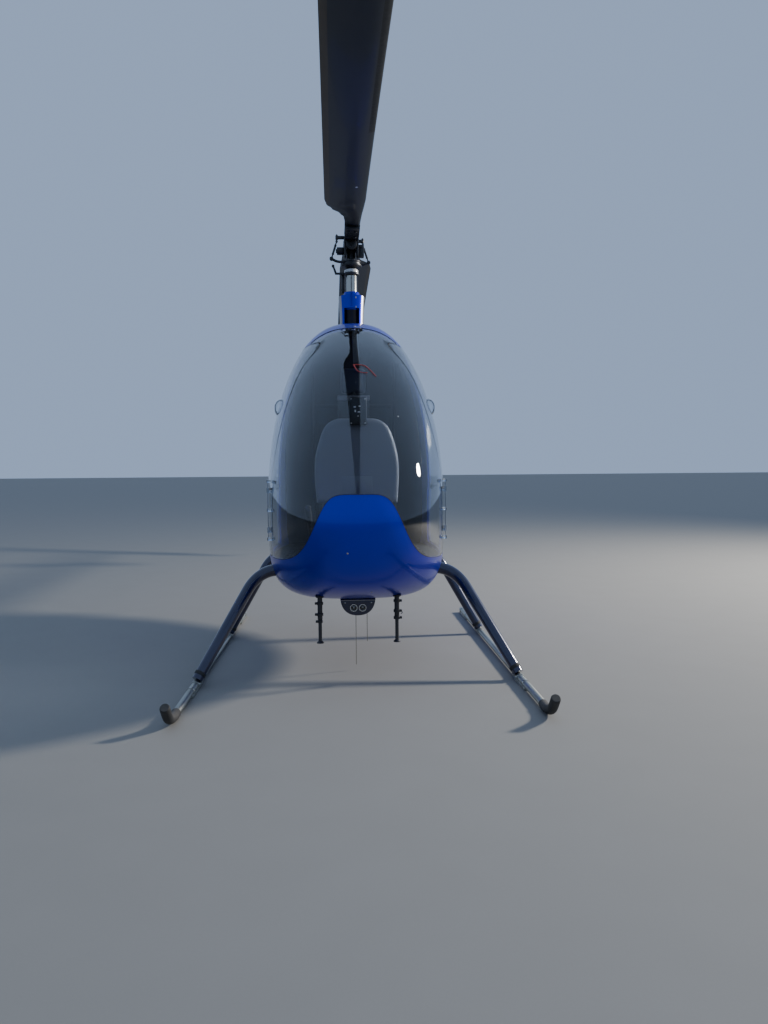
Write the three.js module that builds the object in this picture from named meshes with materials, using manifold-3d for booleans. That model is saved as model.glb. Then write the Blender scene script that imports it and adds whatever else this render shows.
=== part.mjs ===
// Light two-seat tandem helicopter, parked on its skids with its rotor blades fore and aft.
// Millimetres, +Z up, nose towards -Y, port side +X.
// The origin is on the ground, under the middle of the whole machine.

import * as THREE from 'three';
import { mergeVertices } from 'three/addons/utils/BufferGeometryUtils.js';
import Module from 'manifold-3d';

const wasm = await Module();
wasm.setup();

// Driving dimensions
const ROTOR_RADIUS = 3100;
const TAIL_REACH = 3850;
const NOSE_TO_MAST = 1550;
const TRACK = 1430;
const WALL = 14;
const GAP = 0.3;
const MOVING_GAP = 8;

// Places that follow from them
const MAST_Y = (ROTOR_RADIUS - TAIL_REACH) / 2;
const NOSE_Y = MAST_Y - NOSE_TO_MAST;
const SKID_X = TRACK / 2;

// Pod sections, by station aft of the nose tip. Each half of a section is a superellipse
// about the waist height: roundness 2 is an ellipse, and more is squarer.
// Columns: station, top, bottom, half width, waist, roundness above, roundness below
const POD_SECTIONS = [
  [0, 720, 720, 0, 720, 2, 2],
  [50, 900, 560, 170, 725, 2, 2],
  [100, 1000, 500, 235, 730, 2.05, 2.1],
  [200, 1140, 430, 310, 740, 2.1, 2.4],
  [400, 1340, 367, 385, 750, 2.25, 3.3],
  [600, 1490, 340, 418, 755, 2.4, 4.2],
  [800, 1608, 330, 435, 760, 2.4, 4.6],
  [950, 1681, 330, 437, 765, 2.4, 4.6],
  [1100, 1734, 332, 432, 770, 2.4, 4.2],
  [1350, 1764, 355, 410, 790, 2.35, 3.6],
  [1600, 1752, 410, 370, 830, 2.3, 2.9],
  [1800, 1705, 490, 320, 880, 2.2, 2.5],
  [2000, 1600, 600, 260, 940, 2.1, 2.3],
  [2200, 1420, 770, 180, 1020, 2, 2.1],
  [2380, 1195, 1005, 92, 1100, 2, 2],
];
const POD_RINGS = [
  14, 45, 95, 165, 260, 370, 490, 610, 730, 850, 970, 1090,
  1210, 1340, 1480, 1620, 1760, 1900, 2030, 2150, 2270, 2380,
];
const POD_SIDES = 28;
const POD_END = 2380;

// The blue nose rises to an arch between the clear panels
const NOSE_ARCH = { base: 548, rise: 302, halfWidth: 193, steepness: 5.6 };
const BELLY_END = 1600;

// Panels of the cabin, by station and height
const DOOR = {
  front: 445, rear: 1150, sill: 556, head: 1590,
  corner: 64, headCorner: 140, slant: [690, 1440], slantBend: [505, 1230], slantFoot: 1000,
  top: 880, topBend: 780,
};
const DOOR_TRIM = 26;
const PANE = { outer: 4, inner: 10 };
const ROOF = { front: 950, rear: 1330, lower: 1450 };
const SCOOP = { x: 362, station: 760, z: 1255, radius: 50, stretch: [0.7, 1.3, 0.9], mouth: 722 };
const INTAKE = { front: 1480, rear: 1700, tip: 1725, low: 1210, high: 1310 };
const OUTLET = { z: 800, halfWidth: 150, halfHeight: 115, front: 1750 };

// Door hinges: two barrels on the door between three on the fixed leaf
const HINGE = { x: 402, station: 431, barrel: 7, pin: 3, bore: 4 };
const DOOR_BARRELS = { heights: [680, 860], half: 18, reach: 38 };
const LEAF = { heights: [640, 770, 900], half: 10, front: 391, rear: 419, low: 630, high: 910 };

const FLOOR_Z = 534;
const BULKHEAD = { front: 1300, rear: 1312 };
const ENGINE = { end: 1900, halfWidth: 150, low: 650, high: 880 };
const EXHAUST = { x: -60, z: 745, radius: 24, end: 2250 };
const INSTRUMENTS = { front: 400, rear: 495, foot: 800, waist: 1000, shoulder: 1080, top: 1180 };
const DISPLAY = { left: -32, right: 45, front: 360, low: 1146, high: 1270 };

// Columns: station of the pan, pan height, back top, width, rake, base from, base to, base top
const SEATS = {
  pilot: [600, 620, 1130, 380, 30, 640, 860, 621],
  passenger: [960, 640, 1215, 340, 25, 1010, 1270, 641],
};
const HEADREST = { z: 1440, station: 1215, radius: 80, bar: 90 };

// Landing gear
const SKID = { radius: 15, front: -170, rear: 1960, shoe: 6 };
const SKID_Z = SKID.shoe + GAP + SKID.radius;
const SHOES = [[140, 360], [1700, 1940]];
const LEG = {
  radius: 29, footRadius: 23, z: 478, footZ: 32, straight: 365, corner: 465, bendEnd: [515, 392],
};
const TOE = { radius: 19, overlap: 90 };

// Stations where each bowed tube crosses the hull and where it meets the skids
const LEG_TUBES = {
  front_leg_tube: { root: 600, foot: 300 },
  rear_leg_tube: { root: 1370, foot: 1290 },
};

// Under the belly
const LAMP = { z: 312, radius: 18, front: 464, back: 490 };
const LAMPS = { lamp_starboard: -20, lamp_port: 21 };
const LAMP_POD = { halfWidth: 82, top: 350, bottom: 274, front: 470, rear: 620 };
const WHIP = { station: 545, radius: 2, top: 300 };
const WHIPS = { long_whip: { x: -9, foot: 26 }, short_whip: { x: 44, foot: 137 } };
const POST = { x: 173, station: 370, radius: 11, lowerRadius: 8, footRadius: 16, step: 275, bottom: 172 };

// Rotor heights above the ground
const HOUSING = { radius: 46.5, foot: 1600, top: 1998 };
const FAIRING = { foot: 1700, middle: 1850, top: 1985, frontCut: 2010, rearCut: 1930 };
const MAST = { radius: 33, foot: 1621, shoulder: 2140, upperRadius: 24 };
const TEETER_Z = 2241;
const BLADE_Z = 2318;
const BLADE_DROOP = 130;
const BLADE_SLOT = 14.5;

// The rotor is parked a little off the fore and aft line
const ROTOR_TURN = (0.7 * Math.PI) / 180;

// Controls round the mast
const HORN_Y = 34;
const HORN_TIP = { starboard: -91, port: 78 };
const CONTROL_PLATE = { radius: 41, low: 2111, high: 2137 };
const PUSH_ROD = { x: -50, y: 16, radius: 9 };
const SWASHPLATE = { radius: 62, topRadius: 57, low: 2146, high: 2180 };
const LINKS = { a: { foot: [-116, 2187], head: [-82, 2286] }, b: { foot: [104.5, 2184], head: [68, 2284] } };

// Tail, by distance aft of the mast
const BOOM = { end: 3500, startZ: 1100, endZ: 1166, startRadius: 76, endRadius: 44, wall: 5 };
const GEARBOX = { end: 3640, half: 45 };
const TAIL_ROTOR = { back: 3590, z: 1170, x: 150, radius: 470 };
const STABILISER = { front: 2700, rear: 2880, z: 1140, halfSpan: 330, plate: 5 };

// Shapes

function at(x, y, z) {
  return new THREE.Vector3(x, y, z);
}

function solid(geometry) {
  const bare = geometry.clone();
  bare.deleteAttribute('normal');
  bare.deleteAttribute('uv');
  const merged = mergeVertices(bare, 1e-3);
  const vertProperties = new Float32Array(merged.attributes.position.array);
  const triVerts = new Uint32Array(merged.index.array);
  return new wasm.Manifold(new wasm.Mesh({ numProp: 3, vertProperties, triVerts }));
}

function geometryOf(body) {
  const mesh = body.getMesh();
  const geometry = new THREE.BufferGeometry();
  geometry.setAttribute('position', new THREE.BufferAttribute(mesh.vertProperties, 3));
  geometry.setIndex(new THREE.BufferAttribute(mesh.triVerts, 1));
  geometry.computeVertexNormals();
  return geometry;
}

function join(bodies) {
  return bodies.reduce((sum, body) => sum.add(body));
}

function cut(body, tools) {
  return tools.reduce((rest, tool) => rest.subtract(tool), body);
}

// A box from its lowest to its highest corner
function block(low, high) {
  const geometry = new THREE.BoxGeometry(high[0] - low[0], high[1] - low[1], high[2] - low[2]);
  geometry.translate((low[0] + high[0]) / 2, (low[1] + high[1]) / 2, (low[2] + high[2]) / 2);
  return solid(geometry);
}

// A round rod between two points, tapered if its end radius differs
function rod(from, to, radius, endRadius = radius, sides = 12) {
  const along = to.clone().sub(from);
  const geometry = new THREE.CylinderGeometry(endRadius, radius, along.length(), sides);
  const turn = new THREE.Quaternion().setFromUnitVectors(at(0, 1, 0), along.clone().normalize());
  geometry.applyQuaternion(turn);
  geometry.translate((from.x + to.x) / 2, (from.y + to.y) / 2, (from.z + to.z) / 2);
  return solid(geometry);
}

function ball(centre, radius, stretch = [1, 1, 1], sides = 10) {
  const geometry = new THREE.SphereGeometry(radius, sides, sides / 2);
  geometry.scale(...stretch);
  geometry.translate(centre.x, centre.y, centre.z);
  return solid(geometry);
}

// A side-view outline (station, height) made solid from one X to another
function acrossX(shape, x0, x1, curveSegments = 6) {
  const geometry = new THREE.ExtrudeGeometry(shape, { depth: x1 - x0, bevelEnabled: false, curveSegments });
  const turn = new THREE.Matrix4().makeBasis(at(0, 1, 0), at(0, 0, 1), at(1, 0, 0));
  geometry.applyMatrix4(turn);
  geometry.translate(x0, 0, 0);
  return solid(geometry);
}

// A front-view outline (x, height) made solid from one station to another
function alongY(shape, y0, y1, curveSegments = 6) {
  const geometry = new THREE.ExtrudeGeometry(shape, { depth: y1 - y0, bevelEnabled: false, curveSegments });
  const turn = new THREE.Matrix4().makeBasis(at(1, 0, 0), at(0, 0, 1), at(0, -1, 0));
  geometry.applyMatrix4(turn);
  geometry.translate(0, y1, 0);
  return solid(geometry);
}

// A closed surface through rings of points. A ring of one point is a tip.
function loft(rings) {
  const positions = [];
  const starts = [];
  for (const ring of rings) {
    starts.push(positions.length / 3);
    ring.forEach((point) => positions.push(point.x, point.y, point.z));
  }
  const index = [];
  for (let r = 0; r + 1 < rings.length; r += 1) {
    const sides = Math.max(rings[r].length, rings[r + 1].length);
    for (let i = 0; i < sides; i += 1) {
      const next = (i + 1) % sides;
      const here = (k) => starts[r] + (k % rings[r].length);
      const there = (k) => starts[r + 1] + (k % rings[r + 1].length);
      if (rings[r].length > 1) index.push(here(i), here(next), there(i));
      if (rings[r + 1].length > 1) index.push(here(next), there(next), there(i));
    }
  }
  for (const end of [0, rings.length - 1]) {
    for (let i = 1; i + 1 < rings[end].length; i += 1) {
      const fan = [starts[end], starts[end] + i, starts[end] + i + 1];
      index.push(...(end === 0 ? fan.reverse() : fan));
    }
  }
  const geometry = new THREE.BufferGeometry();
  geometry.setAttribute('position', new THREE.Float32BufferAttribute(positions, 3));
  geometry.setIndex(isInsideOut(positions, index) ? index.reverse() : index);
  return solid(geometry);
}

function isInsideOut(positions, index) {
  const corner = (k) => at(positions[3 * k], positions[3 * k + 1], positions[3 * k + 2]);
  let volume = 0;
  for (let t = 0; t < index.length; t += 3) {
    volume += corner(index[t]).dot(corner(index[t + 1]).cross(corner(index[t + 2])));
  }
  return volume < 0;
}

// A round tube swept along a curve, its radius following the way along it
function sweep(curve, steps, radiusAt, sides = 10) {
  const rings = [];
  for (let k = 0; k <= steps; k += 1) {
    const t = k / steps;
    const centre = curve.getPointAt(t);
    const forward = curve.getTangentAt(t);
    const helper = Math.abs(forward.y) > 0.9 ? at(1, 0, 0) : at(0, 1, 0);
    const across = helper.cross(forward).normalize();
    const up = across.clone().cross(forward);
    rings.push(circle(centre, across, up, radiusAt(t), sides));
  }
  return loft(rings);
}

function circle(centre, across, up, radius, sides) {
  const points = [];
  for (let i = 0; i < sides; i += 1) {
    const angle = (2 * Math.PI * i) / sides;
    const point = centre.clone().addScaledVector(across, radius * Math.cos(angle));
    points.push(point.addScaledVector(up, radius * Math.sin(angle)));
  }
  return points;
}

// A bent round tube with a straight run between each two points
function bentTube(points, radiusAt, sides = 10) {
  const rings = points.map((point, i) => {
    const before = points[Math.max(i - 1, 0)];
    const after = points[Math.min(i + 1, points.length - 1)];
    const forward = after.clone().sub(before).normalize();
    const helper = Math.abs(forward.y) > 0.9 ? at(1, 0, 0) : at(0, 1, 0);
    const across = helper.cross(forward).normalize();
    return circle(point, across, across.clone().cross(forward), radiusAt(point), sides);
  });
  return loft(rings);
}

// The pod's surface

function podValue(column, station) {
  const q = Math.sqrt(Math.max(station, 0));
  const last = POD_SECTIONS.length - 1;
  const root = (i) => Math.sqrt(POD_SECTIONS[i][0]);
  const value = (i) => POD_SECTIONS[i][column];
  let i = 0;
  while (i < last - 1 && q > root(i + 1)) i += 1;
  const slope = (k) => {
    const a = Math.max(k - 1, 0);
    const b = Math.min(k + 1, last);
    return (value(b) - value(a)) / (root(b) - root(a));
  };
  const span = root(i + 1) - root(i);
  const t = Math.min((q - root(i)) / span, 1);
  const rest = 1 - t;
  const ends = value(i) * (1 + 2 * t) * rest * rest + value(i + 1) * t * t * (3 - 2 * t);
  return ends + span * (slope(i) * t * rest * rest - slope(i + 1) * t * t * rest);
}

// A column's value on the surface moved inwards; its sense is -1 where inwards is upwards
function insetValue(column, station, inset, sense = 1) {
  const straight = sense * podValue(column, station) - inset;
  const fromAhead = sense * podValue(column, station - inset);
  return sense * (inset > 0 ? Math.min(straight, fromAhead) : straight);
}

function podRing(station, inset) {
  const waist = podValue(4, station);
  const halfWidth = insetValue(3, station, inset);
  const top = insetValue(1, station, inset);
  const bottom = insetValue(2, station, inset, -1);
  const points = [];
  for (let i = 0; i < POD_SIDES; i += 1) {
    const angle = (2 * Math.PI * i) / POD_SIDES;
    const upper = Math.sin(angle) >= 0;
    const power = 2 / podValue(upper ? 5 : 6, station);
    const x = halfWidth * Math.sign(Math.cos(angle)) * Math.abs(Math.cos(angle)) ** power;
    const reach = upper ? top - waist : waist - bottom;
    const rise = Math.sign(Math.sin(angle)) * Math.abs(Math.sin(angle)) ** power;
    points.push(at(x, station, waist + reach * rise));
  }
  return points;
}

// The pod as a solid, its surface moved inwards by the inset
function podSolid(inset, end = POD_END) {
  const stations = POD_RINGS.filter((station) => station > inset + 4 && station < end);
  const tip = [at(0, inset, POD_SECTIONS[0][1])];
  return loft([tip, ...stations.map((station) => podRing(station, inset)), podRing(end, inset)]);
}

function noseArchHeight(x) {
  return NOSE_ARCH.base + NOSE_ARCH.rise / (1 + (Math.abs(x) / NOSE_ARCH.halfWidth) ** NOSE_ARCH.steepness);
}

// Everything under the arch line, back to the end of the belly
function underArch(extra) {
  const shape = new THREE.Shape();
  const reach = 480;
  const steps = 22;
  shape.moveTo(-reach, 0);
  for (let i = 0; i <= steps; i += 1) {
    const x = -reach + (2 * reach * i) / steps;
    shape.lineTo(x, noseArchHeight(x) + extra);
  }
  shape.lineTo(reach, 0);
  return alongY(shape, -20, BELLY_END + extra);
}

// The door's outline in side view, drawn in by the margin
function doorOutline(margin) {
  const front = DOOR.front + margin;
  const rear = DOOR.rear - margin;
  const sill = DOOR.sill + margin;
  const head = DOOR.head - margin;
  const shape = new THREE.Shape();
  const [slantStation, slantZ] = DOOR.slant;
  const [bendStation, bendZ] = DOOR.slantBend;
  shape.moveTo(front, sill + DOOR.corner);
  shape.quadraticCurveTo(front, sill, front + DOOR.corner, sill);
  shape.lineTo(rear - DOOR.corner, sill);
  shape.quadraticCurveTo(rear, sill, rear, sill + DOOR.corner);
  shape.lineTo(rear, head - DOOR.headCorner);
  shape.quadraticCurveTo(rear, head, rear - DOOR.headCorner, head);
  shape.lineTo(DOOR.top + margin, head);
  shape.quadraticCurveTo(DOOR.topBend + margin, head, slantStation + margin, slantZ - margin);
  shape.quadraticCurveTo(bendStation + margin, bendZ - margin, front, DOOR.slantFoot);
  return shape;
}

// Cabin shell

const OUTSIDE = podSolid(0);
const INSIDE = podSolid(WALL, POD_END - WALL);
const SHELL = OUTSIDE.subtract(INSIDE);
const ABOVE_ARCH = SHELL.subtract(underArch(GAP));
const DOORWAYS = acrossX(doorOutline(-MOVING_GAP), -600, 600);

function legHoles() {
  return Object.values(LEG_TUBES).map((leg) => legBow(leg, 2 * GAP));
}

function lowerHull() {
  return cut(SHELL.intersect(underArch(0)), [DOORWAYS, ...legHoles()]);
}

function windshield() {
  const ahead = block([-600, -20, 0], [600, ROOF.front, 2500]);
  return ABOVE_ARCH.intersect(ahead).subtract(DOORWAYS);
}

function roofZone(extra) {
  const low = [-600, ROOF.front + GAP - extra, ROOF.lower - extra];
  return block(low, [600, ROOF.rear + extra, 2500]);
}

function roofPanel() {
  return ABOVE_ARCH.intersect(roofZone(0)).subtract(DOORWAYS);
}

// The rear cowl is open under the boom and has an air intake on each side
function aftCowl() {
  const behind = block([-600, ROOF.front + GAP, 0], [600, POD_END + 20, 2500]);
  const outlet = new THREE.Shape();
  outlet.absellipse(0, OUTLET.z, OUTLET.halfWidth, OUTLET.halfHeight, 0, 2 * Math.PI);
  const intake = new THREE.Shape();
  intake.moveTo(INTAKE.front, INTAKE.low);
  intake.lineTo(INTAKE.rear, INTAKE.low + 20);
  intake.quadraticCurveTo(INTAKE.tip, (INTAKE.low + INTAKE.high) / 2, INTAKE.rear - 10, INTAKE.high);
  intake.lineTo(INTAKE.front + 20, INTAKE.high - 10);
  const holeRadius = HOUSING.radius + GAP;
  const mastHole = rod(at(0, NOSE_TO_MAST, 1500), at(0, NOSE_TO_MAST, 2000), holeRadius, holeRadius, 24);
  return cut(ABOVE_ARCH.intersect(behind), [
    roofZone(GAP),
    DOORWAYS,
    alongY(outlet, OUTLET.front, 2500, 16),
    acrossX(intake, -600, 600),
    mastHole,
    ...legHoles(),
  ]);
}

function doorShell(side, margin) {
  const near = side > 0 ? 0 : -600;
  return acrossX(doorOutline(margin), near, near + 600);
}

// A door frame as thick as the cabin wall, with its window cut and its two hinge barrels
function doorFrame(side) {
  const ring = SHELL.intersect(doorShell(side, 0)).subtract(doorShell(side, DOOR_TRIM));
  const x = side * HINGE.x;
  const leaves = [];
  const bores = [];
  for (const z of DOOR_BARRELS.heights) {
    const [low, high] = [z - DOOR_BARRELS.half, z + DOOR_BARRELS.half];
    leaves.push(rod(at(x, HINGE.station, low), at(x, HINGE.station, high), HINGE.barrel));
    for (const [depth, start] of [[6, 0], [18, 15]]) {
      const xs = [side * (HINGE.x - depth), side * (HINGE.x - 1)].sort((a, b) => a - b);
      const reach = HINGE.station + DOOR_BARRELS.reach;
      leaves.push(block([xs[0], HINGE.station + start, low], [xs[1], reach, high]));
    }
    bores.push(rod(at(x, HINGE.station, low - 10), at(x, HINGE.station, high + 10), HINGE.bore));
  }
  return cut(join([ring, ...leaves]), bores);
}

// A clear pane with a small air scoop that opens forwards
function doorPane(side) {
  const sheet = podSolid(PANE.outer).subtract(podSolid(PANE.inner));
  return sheet.intersect(doorShell(side, DOOR_TRIM + GAP)).add(airScoop(side));
}

function airScoop(side) {
  const bulge = ball(at(side * SCOOP.x, SCOOP.station, SCOOP.z), SCOOP.radius, SCOOP.stretch, 14);
  const near = side > 0 ? 300 : -500;
  const mouth = block([near, 640, 1150], [near + 200, SCOOP.mouth, 1350]);
  return cut(bulge, [podSolid(PANE.inner - 2), mouth]);
}

// Fixed hinge leaf on the windshield's edge, with the pins that the door's barrels turn on
function hingeStrip(side) {
  const x = side * HINGE.x;
  const near = side > 0 ? 300 : -460;
  const strip = podSolid(-4).subtract(podSolid(-GAP)).intersect(
    block([near, LEAF.front, LEAF.low], [near + 160, LEAF.rear, LEAF.high]),
  );
  const bodies = [strip];
  for (const z of LEAF.heights) {
    const xs = [side * (HINGE.x - 16), side * (HINGE.x + 5)].sort((a, b) => a - b);
    bodies.push(block([xs[0], LEAF.front + 6, z - LEAF.half], [xs[1], HINGE.station - 3, z + LEAF.half]));
    bodies.push(rod(at(x, HINGE.station, z - LEAF.half), at(x, HINGE.station, z + LEAF.half), HINGE.barrel));
  }
  bodies.push(rod(at(x, HINGE.station, LEAF.low + 5), at(x, HINGE.station, LEAF.high - 5), HINGE.pin));
  return cut(join(bodies), [podSolid(-GAP)]);
}

// Cabin

const CAVITY = podSolid(WALL + GAP, POD_END - WALL - GAP);

function cabinFloor() {
  return block([-450, 140, FLOOR_Z - 12], [450, BULKHEAD.front - 1, FLOOR_Z]).intersect(CAVITY);
}

function bulkhead() {
  const plate = block([-500, BULKHEAD.front, 300], [500, BULKHEAD.rear, 1900]);
  return plate.intersect(CAVITY);
}

// Rounded instrument pod on its pedestal, seen as a smooth upturned U from ahead
function instrumentPod() {
  const outline = new THREE.Shape();
  const { foot, waist, shoulder, top, front, rear } = INSTRUMENTS;
  outline.moveTo(-182, foot);
  outline.bezierCurveTo(-196, waist - 70, -196, waist, -168, shoulder);
  outline.bezierCurveTo(-150, top - 30, -120, top - 4, -70, top);
  outline.lineTo(70, top);
  outline.bezierCurveTo(120, top - 4, 150, top - 30, 168, shoulder);
  outline.bezierCurveTo(196, waist, 196, waist - 70, 182, foot);
  const shell = alongY(outline, front, rear, 8);
  const pedestal = block([-62, front + 10, FLOOR_Z + GAP], [62, rear - 10, foot + 20]);
  return join([shell, pedestal]);
}

function instrumentDisplay() {
  const { left, right, front, low, high } = DISPLAY;
  return block([left, front, low], [right, INSTRUMENTS.front - GAP, high]);
}

// A seat as its side view across its width, on a plain base
function seat([station, panZ, backTop, width, rake, baseFront, baseRear, baseTop]) {
  const pan = new THREE.Shape();
  pan.moveTo(station, panZ);
  pan.lineTo(station - 20, panZ + 60);
  pan.quadraticCurveTo(station, panZ + 95, station + 60, panZ + 80);
  pan.lineTo(station + 235, panZ + 60);
  pan.lineTo(station + 245 + rake, backTop - 40);
  pan.quadraticCurveTo(station + 250 + rake, backTop, station + 290 + rake, backTop - 5);
  pan.lineTo(station + 300 + rake * 0.8, panZ + 60);
  pan.lineTo(station + 290, panZ);
  const base = block([-130, baseFront, FLOOR_Z + GAP], [130, baseRear, baseTop]);
  return join([acrossX(pan, -width / 2, width / 2, 4), base]);
}

function headrest() {
  const { z, station, radius, bar: reach } = HEADREST;
  const pad = ball(at(0, station, z), radius, [0.88, 0.5, 1], 12);
  const bar = block([-reach, station - 25, z - 108], [reach, station, z - 80]);
  const stem = block([-18, station - 15, z - 95], [18, station + 25, z - 20]);
  const stay = block([-18, station - 5, z - 105], [18, BULKHEAD.front - GAP, z - 82]);
  return join([pad, bar, stem, stay]);
}

function cyclicStick() {
  const route = [at(0, 548, FLOOR_Z + 0.6 + GAP), at(0, 555, 700), at(0, 530, 860), at(0, 536, 980)];
  const grip = rod(at(0, 530, 870), at(0, 536, 985), 17, 15);
  return join([bentTube(route, () => 11), grip]);
}

function collectiveLever() {
  const lever = rod(at(-235, 900, 590), at(-235, 640, 760), 10);
  const grip = rod(at(-235, 740, 694.6), at(-235, 620, 773), 17, 16);
  const foot = block([-250, 870, FLOOR_Z + GAP], [-220, 920, 610]);
  return join([lever, grip, foot]);
}

function pedals() {
  const bar = rod(at(-150, 262, 560), at(150, 262, 560), 9);
  const feet = block([-20, 245, FLOOR_Z + GAP], [20, 280, 565]);
  const plates = [-1, 1].flatMap((side) => [
    block([side * 120 - 35, 236, 590], [side * 120 + 35, 246, 690]),
    rod(at(side * 120, 262, 558), at(side * 120, 243, 640), 7),
  ]);
  return join([bar, feet, ...plates]);
}

// Power plant: one plain block that hangs from the bulkhead, with its exhaust
function engineBlock() {
  const { halfWidth, low, high, end } = ENGINE;
  return block([-halfWidth, BULKHEAD.rear + GAP, low], [halfWidth, end, high]);
}

function exhaust() {
  const { x, z, radius, end } = EXHAUST;
  const start = ENGINE.end + GAP;
  const flange = block([x - 35, start, z - 35], [x + 35, start + 12, z + 35]);
  const pipe = bentTube([at(x, start + 6, z), at(x, end - 200, z), at(x, end, z + 17)], () => radius, 12);
  return join([flange, pipe]);
}

// Mast

function mastHousing() {
  const tube = rod(at(0, 0, HOUSING.foot), at(0, 0, HOUSING.top), HOUSING.radius, HOUSING.radius, 24);
  const boreRadius = MAST.radius + 3 * GAP;
  const bore = rod(at(0, 0, MAST.foot - GAP), at(0, 0, HOUSING.top + 100), boreRadius, boreRadius, 24);
  return tube.subtract(bore);
}

// A teardrop ring round the mast, its tail behind
function teardrop(width, front, back, z) {
  const points = [];
  for (let i = 0; i < 16; i += 1) {
    const angle = (2 * Math.PI * i) / 16;
    const ahead = Math.cos(angle) < 0;
    const taper = ahead ? 1 : 1 - 0.55 * Math.cos(angle);
    points.push(at(width * Math.sin(angle) * taper, (ahead ? front : back) * Math.cos(angle), z));
  }
  return points;
}

// Streamlined fairing round the housing, open at its foot ahead of the mast
function mastFairing() {
  const { foot, middle, top } = FAIRING;
  const outer = loft([
    teardrop(72, 62, 210, foot), teardrop(70, 60, 200, middle), teardrop(78, 58, 180, top),
  ]);
  const inner = loft([
    teardrop(66, 56, 200, foot - 10), teardrop(64, 54, 190, middle), teardrop(72, 52, 170, top + 10),
  ]);
  const slot = block([-44, -200, foot - 100], [44, 0, middle + 50]);
  const trim = acrossX(slantedTop(), -200, 200);
  const socketRadius = HOUSING.radius + GAP;
  const socket = rod(at(0, 0, HOUSING.foot), at(0, 0, 2100), socketRadius, socketRadius, 24);
  const web = block([-70, -8, middle - 50], [70, 8, middle + 90]).intersect(outer);
  const shell = join([outer.subtract(inner), web]);
  const podTop = podSolid(-2 * GAP).translate([0, -NOSE_TO_MAST, 0]);
  return cut(shell, [slot, socket, trim, podTop]);
}

function slantedTop() {
  const shape = new THREE.Shape();
  shape.moveTo(-300, FAIRING.frontCut);
  shape.lineTo(300, FAIRING.rearCut);
  shape.lineTo(300, 2300);
  shape.lineTo(-300, 2300);
  return shape;
}

function mastTube() {
  const lower = rod(at(0, 0, MAST.foot), at(0, 0, MAST.shoulder), MAST.radius, MAST.radius, 24);
  const top = TEETER_Z + 16;
  const upper = rod(at(0, 0, MAST.shoulder - 1), at(0, 0, top), MAST.upperRadius, MAST.upperRadius, 16);
  const teeterPin = rod(at(-78, 0, TEETER_Z), at(68, 0, TEETER_Z), 8);
  return join([lower, upper, teeterPin]);
}

// The plate that doesn't turn, with its control rod and crank
function controlPlate() {
  const { radius, low, high } = CONTROL_PLATE;
  const { x, y, radius: rodRadius } = PUSH_ROD;
  const ring = rod(at(0, 0, low), at(0, 0, high), radius, radius, 24);
  const boreRadius = MAST.radius + 3 * GAP;
  const bore = rod(at(0, 0, low - 100), at(0, 0, high + 100), boreRadius, boreRadius, 24);
  const pushRod = rod(at(x, y, HOUSING.top + GAP), at(x, y, low + 1), rodRadius, rodRadius, 12);
  const foot = block([x - 12, y - 16, low - 7], [x + 20, y + 10, low + 7]);
  const crank = block([x - 46, -7, low - 7], [x + 12, 7, low + 7]);
  const riser = rod(at(x - 40, 0, low - 3), at(x - 58, 0, low + 47), 8, 7, 10);
  return join([ring, foot, crank, pushRod, riser]).subtract(bore);
}

// The turning plate above it, with the arms for the two pitch links
function swashplate() {
  const { radius, topRadius, low, high } = SWASHPLATE;
  const ring = rod(at(0, 0, low), at(0, 0, high), radius, topRadius, 20);
  const arms = Object.values(LINKS).flatMap(({ foot: [x, z] }) => {
    const side = Math.sign(x);
    const end = at(x, side * HORN_Y, z);
    return [rod(at(side * 40, side * HORN_Y, high - 12), end, 9, 9, 10), ball(end, 12)];
  });
  const boreRadius = MAST.upperRadius + GAP;
  const bore = rod(at(0, 0, 2100), at(0, 0, 2300), boreRadius, boreRadius, 16);
  const shoulder = rod(at(0, 0, 2100), at(0, 0, MAST.shoulder + GAP), MAST.radius + 1, MAST.radius + 1, 24);
  return cut(join([ring, ...arms]), [bore, shoulder]);
}

function pitchLink({ foot, head }) {
  const y = Math.sign(foot[0]) * HORN_Y;
  return rod(at(foot[0], y, foot[1] + 13), at(head[0], y, head[1]), 5.5, 5.5, 10);
}

// Seesaw head: block on the teeter pin, bearing ends, grips for the blades and pitch horns
function rotorHead() {
  const [left, right, half] = [-42, 44, 62];
  const slotLow = BLADE_Z - BLADE_SLOT;
  const slotHigh = BLADE_Z + BLADE_SLOT;
  const [gripLow, gripHigh] = [BLADE_Z - 30, BLADE_Z + 27];
  const core = block([left, -half, TEETER_Z - 43], [right, half, slotLow + 2.5]);
  const knob = rod(at(left * 2, 0, TEETER_Z), at(left + 2, 0, TEETER_Z), 23, 23, 16);
  const bearing = block([right - 1, -22, TEETER_Z - 36], [right + 33, 22, TEETER_Z + 34]);
  const bodies = [core, knob, bearing];
  for (const side of [-1, 1]) {
    const near = side < 0 ? -270 : 50;
    bodies.push(block([left + 2, near, gripLow], [right, near + 220, slotLow]));
    bodies.push(block([left + 2, near, slotHigh], [right, near + 220, gripHigh]));
    const web = side < 0 ? -78 : 58;
    bodies.push(block([left + 2, web, gripLow], [right, web + 20, gripHigh]));
  }
  const { starboard, port } = HORN_TIP;
  bodies.push(block([starboard, -HORN_Y - 11, gripLow + 8], [left + 4, 11 - HORN_Y, gripLow + 34]));
  bodies.push(block([right - 1, HORN_Y - 11, gripLow + 8], [port, HORN_Y + 11, gripLow + 34]));
  bodies.push(block([left + 2, -half, gripLow + 12], [right, half, gripHigh]));
  const pocket = block([-30, -36, 2100], [30, 36, TEETER_Z + 35]);
  const pinBore = rod(at(-79.5, 0, TEETER_Z), at(69.5, 0, TEETER_Z), 8.6);
  return cut(join(bodies), [pocket, pinBore]);
}

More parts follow.
